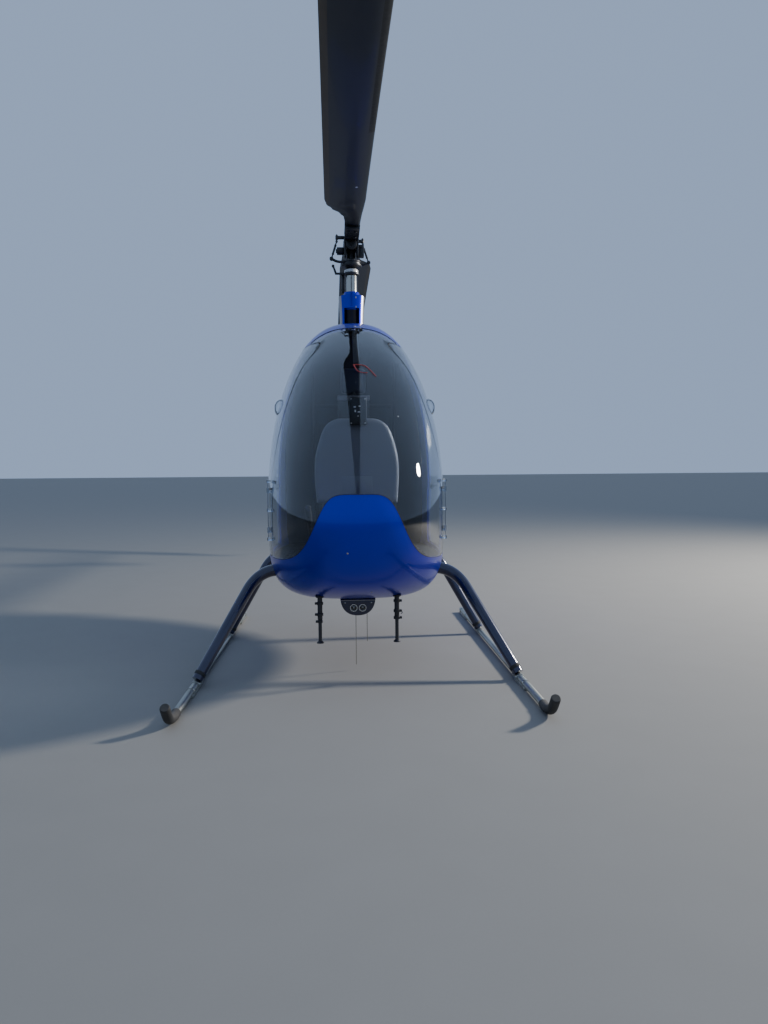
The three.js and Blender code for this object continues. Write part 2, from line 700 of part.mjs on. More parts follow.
// Blade planform, from the hub outwards.
// Columns: distance from the mast, trailing edge from the pitch axis, leading edge, thickness
const BLADE_PLAN = [
  [79, 38, 42, 28],
  [300, 38, 43, 28],
  [350, 46, 45, 28],
  [400, 72, 48, 27],
  [450, 112, 52, 26],
  [500, 141, 55, 25],
  [540, 150, 58, 24],
  [900, 150, 60, 24],
  [1500, 150, 60, 24],
  [2100, 150, 60, 24],
  [2600, 150, 60, 24],
  [3060, 150, 60, 23],
  [ROTOR_RADIUS, 144, 50, 16],
];

// The blade's section, from its leading edge: share of the chord, share of the thickness
const BLADE_SECTION = [
  [0, 0], [0.04, 0.34], [0.15, 0.5], [0.35, 0.48], [0.65, 0.28], [1, 0.04],
  [1, -0.04], [0.65, -0.22], [0.35, -0.4], [0.15, -0.42], [0.04, -0.28],
];

// The forward blade's leading edge is to port, and the tips droop under their own weight
function blade(side) {
  const rings = BLADE_PLAN.map(([radius, trailing, leading, thickness]) => {
    const z = BLADE_Z - BLADE_DROOP * (radius / ROTOR_RADIUS) ** 2;
    return BLADE_SECTION.map(([along, up]) => {
      const x = leading - along * (leading + trailing);
      return at(-side * x, side * radius, z + up * thickness);
    });
  });
  return loft(rings);
}

// Tail

// A slim tapered tube with a thin wall, open at its front end and flanged where it meets the pod
function tailBoom() {
  const start = POD_END + GAP - NOSE_TO_MAST;
  const { end, startZ, endZ, startRadius, endRadius, wall } = BOOM;
  const tube = (rings, sides) => loft(rings.map(
    ([y, z, radius]) => circle(at(0, y, z), at(1, 0, 0), at(0, 0, 1), radius, sides),
  ));
  const outside = tube([
    [start, startZ, startRadius + 16], [start + 40, startZ + 1, startRadius + 14],
    [start + 60, startZ + 2, startRadius], [end, endZ, endRadius],
  ], 20);
  const inside = tube([
    [start - 20, startZ, startRadius - wall], [start + 60, startZ + 2, startRadius - wall],
    [end - 50, endZ - 1, endRadius - wall + 1],
  ], 16);
  return outside.subtract(inside);
}

function tailGearbox() {
  const y = TAIL_ROTOR.back;
  const z = TAIL_ROTOR.z;
  const { end, half } = GEARBOX;
  const body = block([-half, BOOM.end + GAP, z - half], [half, end, z + half]);
  const neck = rod(at(40, y, z), at(112, y, z), 26, 20);
  const shaft = rod(at(100, y, z), at(150, y, z), 12);
  return join([body, neck, shaft]);
}

function tailFin() {
  const shape = new THREE.Shape();
  const front = GEARBOX.end + GAP;
  shape.moveTo(front, 1214);
  shape.lineTo(3700, 1640);
  shape.quadraticCurveTo(3712, 1660, 3740, 1660);
  shape.lineTo(TAIL_REACH, 1640);
  shape.lineTo(3800, 1170);
  shape.lineTo(3770, 760);
  shape.quadraticCurveTo(3720, 735, 3690, 760);
  shape.lineTo(front, 1126);
  return acrossX(shape, -9, 9);
}

function stabiliser() {
  const { front, rear, z, halfSpan, plate: half } = STABILISER;
  const shape = new THREE.Shape();
  shape.moveTo(front, z);
  shape.quadraticCurveTo(front, z + 14, front + 40, z + 16);
  shape.lineTo(rear, z + 6);
  shape.lineTo(rear, z);
  const wing = acrossX(shape, -halfSpan, halfSpan);
  const plates = [-1, 1].map((side) => {
    const plate = new THREE.Shape();
    plate.moveTo(front - 10, z - 40);
    plate.lineTo(front + 20, z + 80);
    plate.lineTo(rear + 20, z + 80);
    plate.lineTo(rear + 10, z - 50);
    const x = side * (halfSpan + half - 1);
    return acrossX(plate, x - half, x + half);
  });
  const boomZ = (y) => {
    const start = POD_END + GAP + 60 - NOSE_TO_MAST;
    return BOOM.startZ + 2 + ((BOOM.endZ - BOOM.startZ - 2) * (y - start)) / (BOOM.end - start);
  };
  const along = (y, radius) => [at(0, y, boomZ(y)), radius];
  const [holeFront, holeFrontRadius] = along(front - 10, 54.7);
  const [holeRear, holeRearRadius] = along(rear + 20, 52.1);
  const hole = rod(holeFront, holeRear, holeFrontRadius, holeRearRadius, 20);
  const collar = rod(at(0, front, boomZ(front)), at(0, rear, boomZ(rear)), 62, 60, 20);
  return join([wing, collar, ...plates]).subtract(hole);
}

function tailBumper() {
  const route = [
    at(0, 3560, 1125 - GAP), at(0, 3600, 760), at(0, 3640, 660), at(0, 3720, 600), at(0, 3800, 590),
  ];
  const top = block([-60, BOOM.end, 1125 - GAP], [60, GEARBOX.end, 1200]);
  return bentTube(route, () => 9).subtract(top);
}

function tailRotor() {
  const { back: y, z, x, radius } = TAIL_ROTOR;
  const hub = rod(at(x - 20, y, z), at(x + 26, y, z), 38, 32, 20);
  const bore = rod(at(x - 40, y, z), at(x + 4, y, z), 12.8, 12.8, 12);
  const blades = [-1, 1].map((side) => {
    const rings = [
      [30, 22, 22, 16], [110, 22, 22, 14], [160, 34, 52, 11], [radius - 8, 34, 52, 10], [radius, 28, 44, 7],
    ];
    return loft(rings.map(([reach, ahead, behind, thick]) => [
      at(x - thick / 2, y - side * ahead, z + side * reach),
      at(x + thick / 2, y - side * ahead, z + side * reach),
      at(x + thick / 2, y + side * behind, z + side * reach),
      at(x - thick / 2, y + side * behind, z + side * reach),
    ]));
  });
  return join([hub, ...blades]).subtract(bore);
}

// Landing gear

// The bow of a cross tube from skid to skid, with its radius grown by the extra
function legBow(leg, extra) {
  const right = [at(0, 0, LEG.z), at(LEG.straight, 0, LEG.z)];
  const bend = new THREE.QuadraticBezierCurve3(
    at(LEG.straight, 0, LEG.z), at(LEG.corner, 0, LEG.z), at(LEG.bendEnd[0], 0, LEG.bendEnd[1]),
  );
  bend.getPoints(5).slice(1).forEach((point) => right.push(point));
  right.push(at(SKID_X - 2.5, 0, LEG.footZ));
  right.forEach((point) => {
    point.y = leg.root + ((leg.foot - leg.root) * (LEG.z - point.z)) / (LEG.z - LEG.footZ);
  });
  const left = right.slice(1).reverse().map((point) => at(-point.x, point.y, point.z));
  const radiusAt = (point) => {
    const along = Math.max(Math.abs(point.x) - LEG.straight, 0) / (SKID_X - LEG.straight);
    return extra + LEG.radius + (LEG.footRadius - LEG.radius) * along;
  };
  return bentTube([...left, ...right], radiusAt, 14);
}

// One bowed cross tube carries the hull and ends on both skids
function legTube(leg) {
  const tubes = [-1, 1].map((side) => rod(
    at(side * SKID_X, leg.foot - 200, SKID_Z), at(side * SKID_X, leg.foot + 200, SKID_Z),
    SKID.radius + GAP, SKID.radius + GAP, 16,
  ));
  return cut(legBow(leg, 0), tubes);
}

function skid(side) {
  const x = side * SKID_X;
  const tube = rod(at(x, SKID.front, SKID_Z), at(x, SKID.rear, SKID_Z), SKID.radius, SKID.radius, 12);
  const shoes = SHOES.map(([from, to]) => (
    block([x - 17, from, 0], [x + 17, to, SKID_Z - 6])
  ));
  return join([tube, ...shoes]);
}

// Upturned cap on the front end of a skid tube
function toeCap(side) {
  const x = side * SKID_X;
  const curve = new THREE.CatmullRomCurve3([
    at(x, SKID.front + 60, SKID_Z), at(x, SKID.front, SKID_Z),
    at(x, SKID.front - 70, SKID_Z + 20), at(x, SKID.front - 125, SKID_Z + 78),
  ]);
  const cap = sweep(curve, 7, () => TOE.radius, 12);
  const socketRadius = SKID.radius + GAP;
  const socket = rod(
    at(x, SKID.front - GAP, SKID_Z), at(x, SKID.front + TOE.overlap, SKID_Z), socketRadius, socketRadius, 12,
  );
  return cap.subtract(socket);
}

// Under the belly

function lampFairing() {
  const { halfWidth, top, bottom, front, rear } = LAMP_POD;
  const half = new THREE.Shape();
  half.moveTo(-halfWidth, top);
  half.lineTo(halfWidth, top);
  half.bezierCurveTo(halfWidth - 6, bottom + 22, 44, bottom, 0, bottom);
  half.bezierCurveTo(-44, bottom, 6 - halfWidth, bottom + 22, -halfWidth, top);
  return alongY(half, front, rear, 8);
}

function lampPod() {
  const radius = LAMP.radius + GAP;
  const sockets = Object.values(LAMPS).map((x) => (
    rod(at(x, LAMP.front - 60, LAMP.z), at(x, LAMP.back, LAMP.z), radius, radius, 20)
  ));
  return cut(lampFairing(), [podSolid(-2 * GAP), ...sockets]);
}

function lamp(x) {
  return rod(at(x, LAMP.front, LAMP.z), at(x, LAMP.back - GAP, LAMP.z), LAMP.radius, LAMP.radius, 20);
}

function whip({ x, foot }) {
  const { station, radius, top } = WHIP;
  const whole = rod(at(x, station, foot), at(x, station, top), radius, radius, 8);
  return whole.subtract(lampFairing().translate([0, 0, -GAP]));
}

function bellyPost(side) {
  const x = side * POST.x;
  const { station: y, radius, lowerRadius, footRadius, step, bottom } = POST;
  const upper = rod(at(x, y, step), at(x, y, 420), radius, radius, 14);
  const lower = rod(at(x, y, bottom + 6), at(x, y, step + 1), lowerRadius, lowerRadius, 14);
  const foot = rod(at(x, y, bottom), at(x, y, bottom + 10), footRadius, footRadius, 14);
  return join([upper, lower, foot]).subtract(podSolid(-GAP));
}

// Colours

function finish(color, roughness, metalness = 0) {
  return new THREE.MeshStandardMaterial({ color, roughness, metalness });
}

function clearFinish(color, opacity) {
  return new THREE.MeshStandardMaterial({ color, roughness: 0.05, transparent: true, opacity });
}

const BLUE = finish(0x0a32b8, 0.25);
const NAVY = finish(0x0b1a5e, 0.3);
const CLEAR = clearFinish(0xc8d4dc, 0.3);
const GREY = finish(0xb8bcc4, 0.5);
const BLACK = finish(0x16181c, 0.6);
const STEEL = finish(0xb0b2ae, 0.25, 1);
const DARK_BLADE = finish(0x34383c, 0.5);
const CUSHION = finish(0x1c2336, 0.9);
const CASTING = finish(0x8a8c90, 0.5, 0.8);
const LENS = clearFinish(0xe8ecf0, 0.6);

// Assembly

const helicopter = new THREE.Group();
const pod = new THREE.Group();
pod.position.y = NOSE_Y;
const mast = new THREE.Group();
mast.position.y = MAST_Y;
const rotor = new THREE.Group();
rotor.rotation.z = ROTOR_TURN;
mast.add(rotor);
helicopter.add(pod, mast);

function add(group, name, body, material) {
  const mesh = new THREE.Mesh(geometryOf(body), material);
  mesh.name = name;
  group.add(mesh);
}

add(pod, 'lower_hull', lowerHull(), BLUE);
add(pod, 'windshield', windshield(), CLEAR);
add(pod, 'roof_panel', roofPanel(), BLUE);
add(pod, 'aft_cowl', aftCowl(), BLUE);
add(pod, 'cabin_floor', cabinFloor(), BLACK);
add(pod, 'bulkhead', bulkhead(), BLACK);
add(pod, 'instrument_pod', instrumentPod(), GREY);
add(pod, 'instrument_display', instrumentDisplay(), BLACK);
for (const [word, row] of Object.entries(SEATS)) {
  add(pod, `${word}_seat`, seat(row), CUSHION);
}
add(pod, 'headrest', headrest(), CUSHION);
add(pod, 'cyclic_stick', cyclicStick(), BLACK);
add(pod, 'collective_lever', collectiveLever(), BLACK);
add(pod, 'pedals', pedals(), STEEL);
add(pod, 'engine_block', engineBlock(), CASTING);
add(pod, 'exhaust', exhaust(), STEEL);
add(pod, 'lamp_pod', lampPod(), NAVY);
for (const [name, x] of Object.entries(LAMPS)) {
  add(pod, name, lamp(x), LENS);
}
for (const [name, row] of Object.entries(WHIPS)) {
  add(pod, name, whip(row), STEEL);
}
for (const [name, leg] of Object.entries(LEG_TUBES)) {
  add(pod, name, legTube(leg), NAVY);
}
for (const [word, side] of [['port', 1], ['starboard', -1]]) {
  add(pod, `door_frame_${word}`, doorFrame(side), CLEAR);
  add(pod, `door_pane_${word}`, doorPane(side), CLEAR);
  add(pod, `hinge_strip_${word}`, hingeStrip(side), STEEL);
  add(pod, `skid_${word}`, skid(side), STEEL);
  add(pod, `toe_cap_${word}`, toeCap(side), BLACK);
  add(pod, `belly_post_${word}`, bellyPost(side), BLACK);
}
add(mast, 'mast_housing', mastHousing(), BLUE);
add(mast, 'mast_fairing', mastFairing(), BLUE);
add(mast, 'control_plate', controlPlate(), BLACK);
add(rotor, 'mast_tube', mastTube(), STEEL);
add(rotor, 'swashplate', swashplate(), BLACK);
add(rotor, 'pitch_link_a', pitchLink(LINKS.a), BLACK);
add(rotor, 'pitch_link_b', pitchLink(LINKS.b), BLACK);
add(rotor, 'rotor_head', rotorHead(), BLACK);
add(rotor, 'blade_forward', blade(-1), DARK_BLADE);
add(rotor, 'blade_aft', blade(1), DARK_BLADE);
add(mast, 'tail_boom', tailBoom(), BLUE);
add(mast, 'stabiliser', stabiliser(), BLUE);
add(mast, 'tail_gearbox', tailGearbox(), CASTING);
add(mast, 'tail_fin', tailFin(), BLUE);
add(mast, 'tail_bumper', tailBumper(), STEEL);
add(mast, 'tail_rotor', tailRotor(), DARK_BLADE);

export default helicopter;
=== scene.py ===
"""Looks of a light two-seat tandem helicopter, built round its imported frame."""

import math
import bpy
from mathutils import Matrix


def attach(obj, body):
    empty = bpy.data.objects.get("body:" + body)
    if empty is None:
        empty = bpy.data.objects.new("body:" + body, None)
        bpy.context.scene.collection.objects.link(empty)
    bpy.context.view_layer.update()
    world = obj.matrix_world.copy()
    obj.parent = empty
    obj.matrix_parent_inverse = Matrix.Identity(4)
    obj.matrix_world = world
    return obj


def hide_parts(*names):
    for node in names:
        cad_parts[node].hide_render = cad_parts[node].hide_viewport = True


bl_info = {
    "name": "Tandem Helicopter",
    "version": (1, 0),
    "blender": (4, 5, 0),
    "location": "View3D > Sidebar > Helicopter",
    "description": "Builds the surfaces, fittings and finishes of a light two-seat helicopter",
    "category": "Add Mesh",
}

import bmesh
import bpy
from bpy.props import FloatProperty, FloatVectorProperty, IntProperty, PointerProperty
from bpy.types import Operator, Panel, PropertyGroup
from mathutils import Matrix, Vector

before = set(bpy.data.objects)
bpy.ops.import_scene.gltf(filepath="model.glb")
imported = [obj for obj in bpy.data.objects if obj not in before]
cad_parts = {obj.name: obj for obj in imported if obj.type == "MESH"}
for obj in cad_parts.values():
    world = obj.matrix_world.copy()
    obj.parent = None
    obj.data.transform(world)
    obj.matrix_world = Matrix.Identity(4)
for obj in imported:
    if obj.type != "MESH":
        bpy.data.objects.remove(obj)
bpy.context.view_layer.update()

UP = Vector((0, 0, 1))
SIDES = (("port", 1), ("starboard", -1))

# Pieces are modelled in millimetres, with Y 0 at the nose tip, and placed in metres at the end
MM = 0.001
NOSE_Y = -1.925
PLACE = Matrix.Translation((0, NOSE_Y, 0)) @ Matrix.Scale(MM, 4)

# Main places, as in the part's source
MAST_Y = 1550
SKID_X = 715
FLOOR_Z = 534
WALL = 14
PANE_WALL = 5

# Pod sections. Columns: station aft of the nose tip, top, bottom, half width, waist,
# roundness above, roundness below
POD_SECTIONS = (
    (0, 720, 720, 0, 720, 2, 2),
    (50, 900, 560, 170, 725, 2, 2),
    (100, 1000, 500, 235, 730, 2.05, 2.1),
    (200, 1140, 430, 310, 740, 2.1, 2.4),
    (400, 1340, 367, 385, 750, 2.25, 3.3),
    (600, 1490, 340, 418, 755, 2.4, 4.2),
    (800, 1608, 330, 435, 760, 2.4, 4.6),
    (950, 1681, 330, 437, 765, 2.4, 4.6),
    (1100, 1734, 332, 432, 770, 2.4, 4.2),
    (1350, 1764, 355, 410, 790, 2.35, 3.6),
    (1600, 1752, 410, 370, 830, 2.3, 2.9),
    (1800, 1705, 490, 320, 880, 2.2, 2.5),
    (2000, 1600, 600, 260, 940, 2.1, 2.3),
    (2200, 1420, 770, 180, 1020, 2, 2.1),
    (2380, 1195, 1005, 92, 1100, 2, 2),
)
TOP, BOTTOM, HALF_WIDTH, WAIST, ROUND_ABOVE, ROUND_BELOW = range(1, 7)
POD_END = 2380
POD_SIDES = 96
POD_STEPS = 74

# The nose arch between blue hull and clear panels, and the panels by station and height
ARCH = {"base": 548, "rise": 302, "half": 193, "steep": 5.6}
BELLY_END = 1600
DOOR = {"front": 445, "rear": 1150, "sill": 556, "head": 1590}
ROOF = {"front": 950, "rear": 1330, "lower": 1450}


class HelicopterSettings(PropertyGroup):
    """Sizes and colours that a user may change before building."""

    seam: FloatProperty(name="Door seam", description="Gap round each door", default=0.004, unit="LENGTH")
    bead: FloatProperty(
        name="Seal bead", description="Radius of the rubber seals", default=0.0028, unit="LENGTH")
    screw: FloatProperty(
        name="Screw head", description="Radius of the small panel screws", default=0.0045, unit="LENGTH")
    screw_pitch: FloatProperty(
        name="Screw pitch", description="Distance between panel screws", default=0.075, unit="LENGTH")
    tube_sides: IntProperty(name="Tube sides", description="Faces round a round tube", default=28, min=8)
    hull_paint: FloatVectorProperty(
        name="Hull paint", description="Colour of the pod and boom", subtype="COLOR", size=3,
        default=(0.0, 0.009, 0.5))
    leg_paint: FloatVectorProperty(
        name="Leg paint", description="Colour of the landing gear legs", subtype="COLOR", size=3,
        default=(0.003, 0.007, 0.05))
    pod_grey: FloatVectorProperty(
        name="Instrument pod", description="Colour of the instrument pod", subtype="COLOR", size=3,
        default=(0.13, 0.135, 0.16))
    blade_grey: FloatVectorProperty(
        name="Blades", description="Colour of the rotor blades", subtype="COLOR", size=3,
        default=(0.016, 0.02, 0.027))
    seat_cloth: FloatVectorProperty(
        name="Cushion cloth", description="Colour of the seat covers", subtype="COLOR", size=3,
        default=(0.016, 0.022, 0.045))


def settings():
    return bpy.context.scene.helicopter


# Mesh helpers

def ring_edges(verts):
    """The edges that join these vertices to each other."""
    ring = set(verts)
    return list({e for v in verts for e in v.link_edges if e.other_vert(v) in ring})


def join_rings(bm, rings, caps=True, closed=False):
    """Skins a row of rings into a tube, its ends filled or joined to each other."""
    for near, far in zip(rings, rings[1:] + rings[:1] if closed else rings[1:]):
        bmesh.ops.bridge_loops(bm, edges=near + far)
    if caps and not closed:
        bmesh.ops.contextual_create(bm, geom=rings[0])
        bmesh.ops.contextual_create(bm, geom=rings[-1])


def loft(bm, sections, caps=True):
    """A skin over closed sections, all with as many corners."""
    rings = []
    for corners in sections:
        ring = bmesh.ops.create_circle(bm, cap_ends=False, radius=1, segments=len(corners))["verts"]
        for vert, corner in zip(ring, corners):
            vert.co = corner
        rings.append(ring_edges(ring))
    join_rings(bm, rings, caps)
    return rings


def tube(bm, path, radius, sides=None, caps=True, closed=False):
    """A round tube along a path, with one radius or one for each point."""
    path = [Vector(p) for p in path]
    count = len(path)
    radii = radius if hasattr(radius, "__len__") else [radius] * count
    turn, rings = None, []
    for i, point in enumerate(path):
        after = path[(i + 1) % count if closed else min(i + 1, count - 1)]
        ahead = (after - path[i - 1 if closed else max(i - 1, 0)]).normalized()
        turn = (turn @ UP).rotation_difference(ahead) @ turn if turn else ahead.to_track_quat("Z", "Y")
        ring = bmesh.ops.create_circle(
            bm, cap_ends=False, radius=radii[i], segments=sides or settings().tube_sides,
            matrix=Matrix.LocRotScale(point, turn, None))
        rings.append(ring_edges(ring["verts"]))
    join_rings(bm, rings, caps, closed)


def round_off(bm, edges, offset, segments=2):
    bmesh.ops.bevel(
        bm, geom=list(edges), offset=offset, offset_type="OFFSET", segments=segments,
        profile=0.5, affect="EDGES", material=-1)


def rod(bm, start, end, radius, end_radius=None, sides=24, soft=0.0):
    """A straight round bar, its rims rounded off by soft."""
    start, end = Vector(start), Vector(end)
    along = end - start
    before = set(bm.faces)
    bmesh.ops.create_cone(
        bm, cap_ends=True, segments=sides, radius1=radius,
        radius2=radius if end_radius is None else end_radius, depth=along.length,
        matrix=Matrix.LocRotScale((start + end) / 2, along.to_track_quat("Z", "Y"), None))
    if soft:
        rims = {e for f in bm.faces if f not in before and len(f.verts) == sides for e in f.edges}
        round_off(bm, rims, soft)


def box(bm, low, high, soft=0.0, turn=None, segments=2):
    """A block between two opposite corners, turned about its middle, its edges rounded."""
    low, high = Vector(low), Vector(high)
    size = Vector(abs(length) for length in high - low)
    cube = bmesh.ops.create_cube(bm, size=1, matrix=Matrix.LocRotScale((low + high) / 2, turn, size))
    if soft:
        round_off(bm, {e for v in cube["verts"] for e in v.link_edges}, soft, segments)


def ball(bm, place, size, sides=16):
    """A sphere by its radius, or an ellipsoid by its three half sizes."""
    half = Vector(size if hasattr(size, "__len__") else (size,) * 3)
    bmesh.ops.create_uvsphere(
        bm, u_segments=sides, v_segments=sides * 2 // 3, radius=1,
        matrix=Matrix.LocRotScale(place, None, half))


def slab(bm, outline, axis, low, high, soft=0.0):
    """An outline of (y, z) made solid along X, or of (x, z) along Y."""
    low, high = sorted((low, high))

    def place(u, v, w):
        return (w, u, v) if axis == "X" else (u, w, v)

    face = bm.faces.new([bm.verts.new(place(u, v, low)) for u, v in outline])
    grown = bmesh.ops.extrude_face_region(bm, geom=[face])["geom"]
    moved = [g for g in grown if isinstance(g, bmesh.types.BMVert)]
    bmesh.ops.translate(bm, verts=moved, vec=place(0, 0, high - low))
    if soft:
        ends = [face] + [g for g in grown if isinstance(g, bmesh.types.BMFace)]
        round_off(bm, {e for f in ends for e in f.edges}, soft)


def lathe(bm, profile, centre=(0, 0, 0), axis=UP, steps=40):
    """A profile of (radius, height) points spun round an axis through the centre."""
    before = set(bm.verts)
    verts = [bm.verts.new((radius, 0, height)) for radius, height in profile]
    edges = [bm.edges.new(pair) for pair in zip(verts, verts[1:])]
    bmesh.ops.spin(
        bm, geom=verts + edges, cent=(0, 0, 0), axis=UP, dvec=(0, 0, 0),
        angle=2 * math.pi, steps=steps, use_merge=True, use_duplicate=False)
    bmesh.ops.remove_doubles(bm, verts=[v for v in bm.verts if v not in before], dist=1e-4)
    turn = UP.rotation_difference(Vector(axis))
    bmesh.ops.transform(
        bm, matrix=Matrix.LocRotScale(centre, turn, None), verts=[v for v in bm.verts if v not in before])


def band(bm, inner, outer, low, high, centre=(0, 0, 0), axis=UP, soft=1, steps=40):
    """A ring between two radii and two heights along its axis, its outer rims softened."""
    lathe(bm, ((inner, low), (outer - soft, low), (outer, low + soft), (outer, high - soft),
               (outer - soft, high), (inner, high), (inner, low)), centre, axis, steps)


def bolt(bm, place, outward, radius, height=None):
    """A hexagon head with its washer, standing on the surface at place."""
    place, rise = Vector(place), Vector(outward).normalized() * (height or radius * 0.9)
    rod(bm, place, place + rise * 0.25, radius * 1.35, sides=16)
    rod(bm, place + rise * 0.25, place + rise, radius, sides=6)


def screw(bm, place, outward, radius):
    """A low domed screw head."""
    profile = ((radius, 0), (radius, radius * 0.12), (radius * 0.72, radius * 0.36), (0, radius * 0.44))
    lathe(bm, profile, Vector(place) - Vector(outward).normalized() * radius * 0.06, outward, steps=10)


def around(count, shift=0.0):
    """Cosine and sine of angles evenly spread round a circle."""
    angles = [2 * math.pi * (k + shift) / count for k in range(count)]
    return [(math.cos(angle), math.sin(angle)) for angle in angles]


def between(first, last, count):
    """Values from the first to the last, in count equal steps."""
    return [first + (last - first) * k / count for k in range(count + 1)]


def spline(points, steps):
    """Points along a smooth curve through the given ones."""
    points = [Vector(p) for p in points]
    found = []
    last = len(points) - 1
    for i in range(last):
        a, b = points[max(i - 1, 0)], points[i]
        c, d = points[i + 1], points[min(i + 2, last)]
        for k in range(steps):
            t = k / steps
            found.append(0.5 * (2 * b + (c - a) * t + (2 * a - 5 * b + 4 * c - d) * t * t
                                + (3 * b - a - 3 * c + d) * t ** 3))
    return found + [points[-1]]


def bend(*points, steps=6):
    """Outline points along the curve that two or more points pull, without the first."""
    degree = len(points) - 1
    found = []
    for t in between(0, 1, steps)[1:]:
        pull = [math.comb(degree, i) * t ** i * (1 - t) ** (degree - i) for i in range(degree + 1)]
        found.append(tuple(sum(share * p[i] for share, p in zip(pull, points)) for i in (0, 1)))
    return found


def evened(outline, pitch):
    """The closed outline again, with a point about every pitch of its length."""
    points = [Vector(p) for p in outline]
    found = []
    for here, there in zip(points, points[1:] + points[:1]):
        parts = max(round((there - here).length / pitch), 1)
        found += [here.lerp(there, k / parts) for k in range(parts)]
    return found


def mirrored(points):
    return [(-p[0], *p[1:]) for p in reversed(points)]


def into_object(name, bm):
    mesh = bpy.data.meshes.new(name)
    bm.to_mesh(mesh)
    bm.free()
    obj = bpy.data.objects.new(name, mesh)
    bpy.context.scene.collection.objects.link(obj)
    return obj


def piece(name, bm, finish, slot, replaces=(), body="airframe", angle=38, bevel=0, recalc=True, place=PLACE):
    """Brings the mesh to its place and makes it a finished piece that rides on its body."""
    bmesh.ops.transform(bm, verts=bm.verts, matrix=place)
    bmesh.ops.remove_doubles(bm, verts=bm.verts, dist=2e-6)
    if recalc:
        bmesh.ops.recalc_face_normals(bm, faces=bm.faces)
    for face in bm.faces:
        face.smooth = True
    for edge in bm.edges:
        edge.smooth = edge.calc_face_angle(0) < math.radians(angle)
    obj = into_object(name, bm)
    for material in (finish,) if isinstance(finish, str) else finish:
        obj.data.materials.append(MATERIALS[material])
    if bevel:
        edge = obj.modifiers.new("Rounded edges", "BEVEL")
        edge.width = bevel * MM
        edge.segments = 2
        edge.limit_method = "ANGLE"
        edge.angle_limit = math.radians(40)
    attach(obj, body)
    if replaces:
        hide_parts(*((replaces,) if isinstance(replaces, str) else replaces))
    return obj


def made(build, *values, **options):
    """A new bmesh that holds what one of the mesh builders makes."""
    bm = bmesh.new()
    build(bm, *values, **options)
    return bm


def solid(build, *values, **options):
    """A closed helper solid from one of the mesh builders, to cut with or to be cut."""
    bm = made(build, *values, **options)
    bmesh.ops.recalc_face_normals(bm, faces=bm.faces)
    return into_object(build.__name__, bm)


def modify(obj, kind, **values):
    """Adds a modifier with its values and applies it."""
    step = obj.modifiers.new(kind.title(), kind)
    for name, value in values.items():
        setattr(step, name, value)
    graph = bpy.context.evaluated_depsgraph_get()
    mesh = bpy.data.meshes.new_from_object(obj.evaluated_get(graph))
    obj.modifiers.clear()
    spent, obj.data = obj.data, mesh
    bpy.data.meshes.remove(spent)


def carve(obj, *steps):
    """Cuts an object with helper solids, in order. A step is ("-", solid) or ("&", solid)."""
    for sign, tool in steps:
        operation = "DIFFERENCE" if sign == "-" else "INTERSECT"
        modify(obj, "BOOLEAN", operation=operation, solver="EXACT", object=tool)
        if not obj.data.polygons:
            raise RuntimeError(f"nothing is left of {obj.name}")


def discard(*objects):
    for obj in objects:
        mesh = obj.data
        bpy.data.objects.remove(obj)
        bpy.data.meshes.remove(mesh)


def into_bmesh(obj, *spent):
    """The object's mesh as a bmesh. Removes the object and the helpers that it was cut with."""
    bm = bmesh.new()
    bm.from_mesh(obj.data)
    discard(obj, *spent)
    return bm


def cut_away(obj, *tools):
    """What is left of a helper solid once others are cut from it, as a bmesh."""
    carve(obj, *(("-", tool) for tool in tools))
    return into_bmesh(obj, *tools)


# The pod's surface

def pod_value(column, station):
    """A column of the section table at a station."""
    q = math.sqrt(max(station, 0))
    roots = [math.sqrt(row[0]) for row in POD_SECTIONS]
    values = [row[column] for row in POD_SECTIONS]
    i = sum(q > root for root in roots[1:-1])

    def slope(k):
        a, b = max(k - 1, 0), min(k + 1, len(roots) - 1)
        return (values[b] - values[a]) / (roots[b] - roots[a])

    span = roots[i + 1] - roots[i]
    t = min((q - roots[i]) / span, 1)
    rest = 1 - t
    ends = values[i] * (1 + 2 * t) * rest * rest + values[i + 1] * t * t * (3 - 2 * t)
    return ends + span * (slope(i) * t * rest * rest - slope(i + 1) * t * t * rest)


def pod_half(station, above):
    """Waist, reach from it and roundness of the pod's upper or lower half at a station."""
    waist = pod_value(WAIST, station)
    reach = pod_value(TOP if above else BOTTOM, station) - waist
    return waist, reach, pod_value(ROUND_ABOVE if above else ROUND_BELOW, station)


def pod_x(station, z):
    """Half width of the pod's surface at a station and height, 0 outside it."""
    waist, reach, roundness = pod_half(station, z >= pod_value(WAIST, station))
    share = 1 - (abs(z - waist) / max(abs(reach), 1e-9)) ** roundness
    return pod_value(HALF_WIDTH, station) * max(share, 0) ** (1 / roundness)


def pod_z(x, station, above=True):
    """Height of the pod's roof, or of its belly, at x and a station."""
    waist, reach, roundness = pod_half(station, above)
    share = max(1 - (abs(x) / pod_value(HALF_WIDTH, station)) ** roundness, 0)
    return waist + reach * share ** (1 / roundness)


def pod_station(x, z, inside=950, outside=0):
    """The station, between one inside the pod and one outside, where its surface passes x and z."""
    for _ in range(40):
        middle = (inside + outside) / 2
        if pod_x(middle, z) < max(abs(x), 0.01):
            outside = middle
        else:
            inside = middle
    return inside


def tail_station(x, z):
    return pod_station(x, z, 1300, POD_END)


def slopes(measure, a, b, step):
    """How fast a measure of two values changes with each of them."""
    return ((measure(a + step, b) - measure(a - step, b)) / (2 * step),
            (measure(a, b + step) - measure(a, b - step)) / (2 * step))


def lifted(place, outward, proud):
    """A place moved outward by proud, and the outward direction."""
    outward = Vector(outward).normalized()
    return Vector(place) + outward * proud, outward


